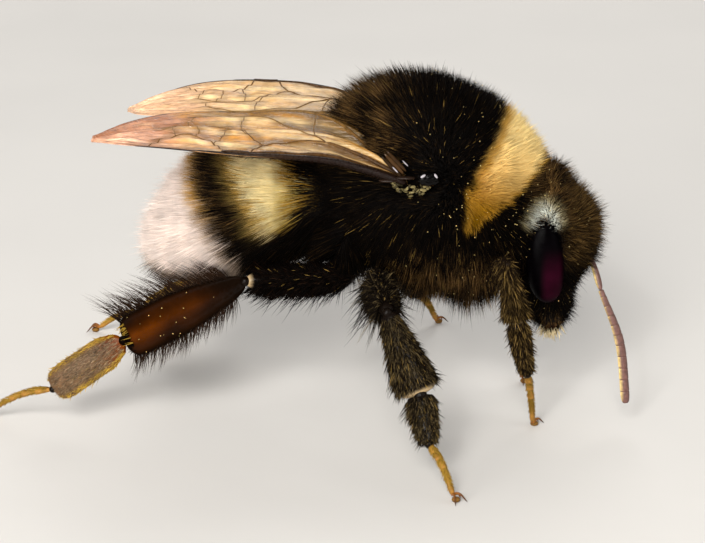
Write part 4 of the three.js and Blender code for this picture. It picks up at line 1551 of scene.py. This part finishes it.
def wing_joint(side_name, side):
    """The scale over the wing's root and the small plates that the wing turns on."""
    points, faces = blob(mirrored(TEGULA["centre"], side), TEGULA["half"], 40, 56, crumple)
    rim = step(0.15, 0.32, TEGULA["centre"][2] - points[:, 2:3])
    scale = Shape().add(points, faces, blend(SHELL_BLACK * 0.3, SCALE_RIM, rim))
    for place, lean in GLINTS:
        scale.add(*leaning(place, side, (0.1, 0.05, 0.045), lean, 14, 20), GLINT_SILVER)
    fine_piece(f"tegula_{side_name}", scale, GLOSS)
    plates = Shape()
    for place, lean in JOINT_BASES:
        plates.add(*leaning(place, side, (0.35, 0.11, 0.07), lean, 12, 18), PLATE_BROWN)
    for rise, bright in JOINT_RODS:
        place = (1.62 + 0.7 * rise, 3.04 - 0.3 * rise, 10.08 + 0.8 * rise)
        plates.add(*leaning(place, side, (0.5, 0.06, 0.07), -0.82, 16, 18), UMBRE * bright)
    for place, lean in JOINT_GLINTS:
        plates.add(*leaning(place, side, (0.14, 0.03, 0.025), lean, 12, 18), GLINT_SILVER)
    rng = np.random.default_rng(78)
    for turn in np.linspace(0, math.pi, 60):
        low = math.sin(turn) * rng.uniform(0.2, 1.1)
        place = (2.22 - 0.62 * math.cos(turn), 3.16 + 0.1 * low, 9.46 - 0.4 * low)
        half = rng.uniform((0.04, 0.04, 0.02), (0.1, 0.09, 0.05))
        tint = PLATE_PALE * rng.uniform(0.2, 0.75) ** 2
        plates.add(*leaning(place, side, half, rng.uniform(-1.2, 1.2), 12, 18, crumple), tint)
    shape_piece(f"wing_joint_{side_name}", plates, GLOSS)


# ---------------- pollen

GRAIN = linear(214, 190, 118)


def pollen(name, roots, ways, heights, places, seed):
    """Small grains caught in the hair or stuck to a shell, each with its patch on the unwrap."""
    rng = np.random.default_rng(seed)
    ball_points, ball_faces = ball(3, 6)
    corners = np.concatenate([part.ravel() for part in ball_faces])
    spots = places[:, None] + ball_points[corners, :2] * 0.5 * HAIR_PATCH
    grains = Shape()
    for root, way, height in zip(roots, ways, heights):
        size = rng.uniform(0.009, 0.019)
        grains.add(ball_points * size + root + way * height, ball_faces, GRAIN * rng.uniform(0.5, 1.3))
    name = f"pollen_{name}"
    points, tints = np.concatenate(grains.points), np.concatenate(grains.tints)
    mesh = new_mesh(name, points, grains.faces, tints, spots.reshape(-1, 2))
    piece(name, mesh, POLLEN)


# ---------------- the whole bee

camera()
studio()
skin_points, skin_faces = body_surface()
body = Surface(skin_points, skin_faces)
skin = new_mesh("skin", skin_points, skin_faces, skin_tints(skin_points, body.normals))
piece("skin", skin, SKIN, ("thorax", "abdomen", "head"))
body_coat(body)
spots, ways = body.sample(460, 91, lambda at: step(1.5, 5.5, at[:, :1]) * bare(at) + 0.01)
heights = np.where(nearest_part(spots) == 2, 0.32, 0.8)
pollen("body", spots, ways, heights, unwrap(spots, THORAX), 92)
for number, name in enumerate(STANCE):
    leg(name, number)
ocelli()
mouth()
for side_name, side in SIDES.items():
    eye(side_name, side)
    mandible(side_name, side)
    feeler(side_name, side)
    wing(f"forewing_{side_name}", FOREWING[side_name], FORE_VEINS, side, 81, 2.4)
    wing(f"hindwing_{side_name}", HINDWING, HIND_VEINS, side, 83, 1.6)
    wing_joint(side_name, side)
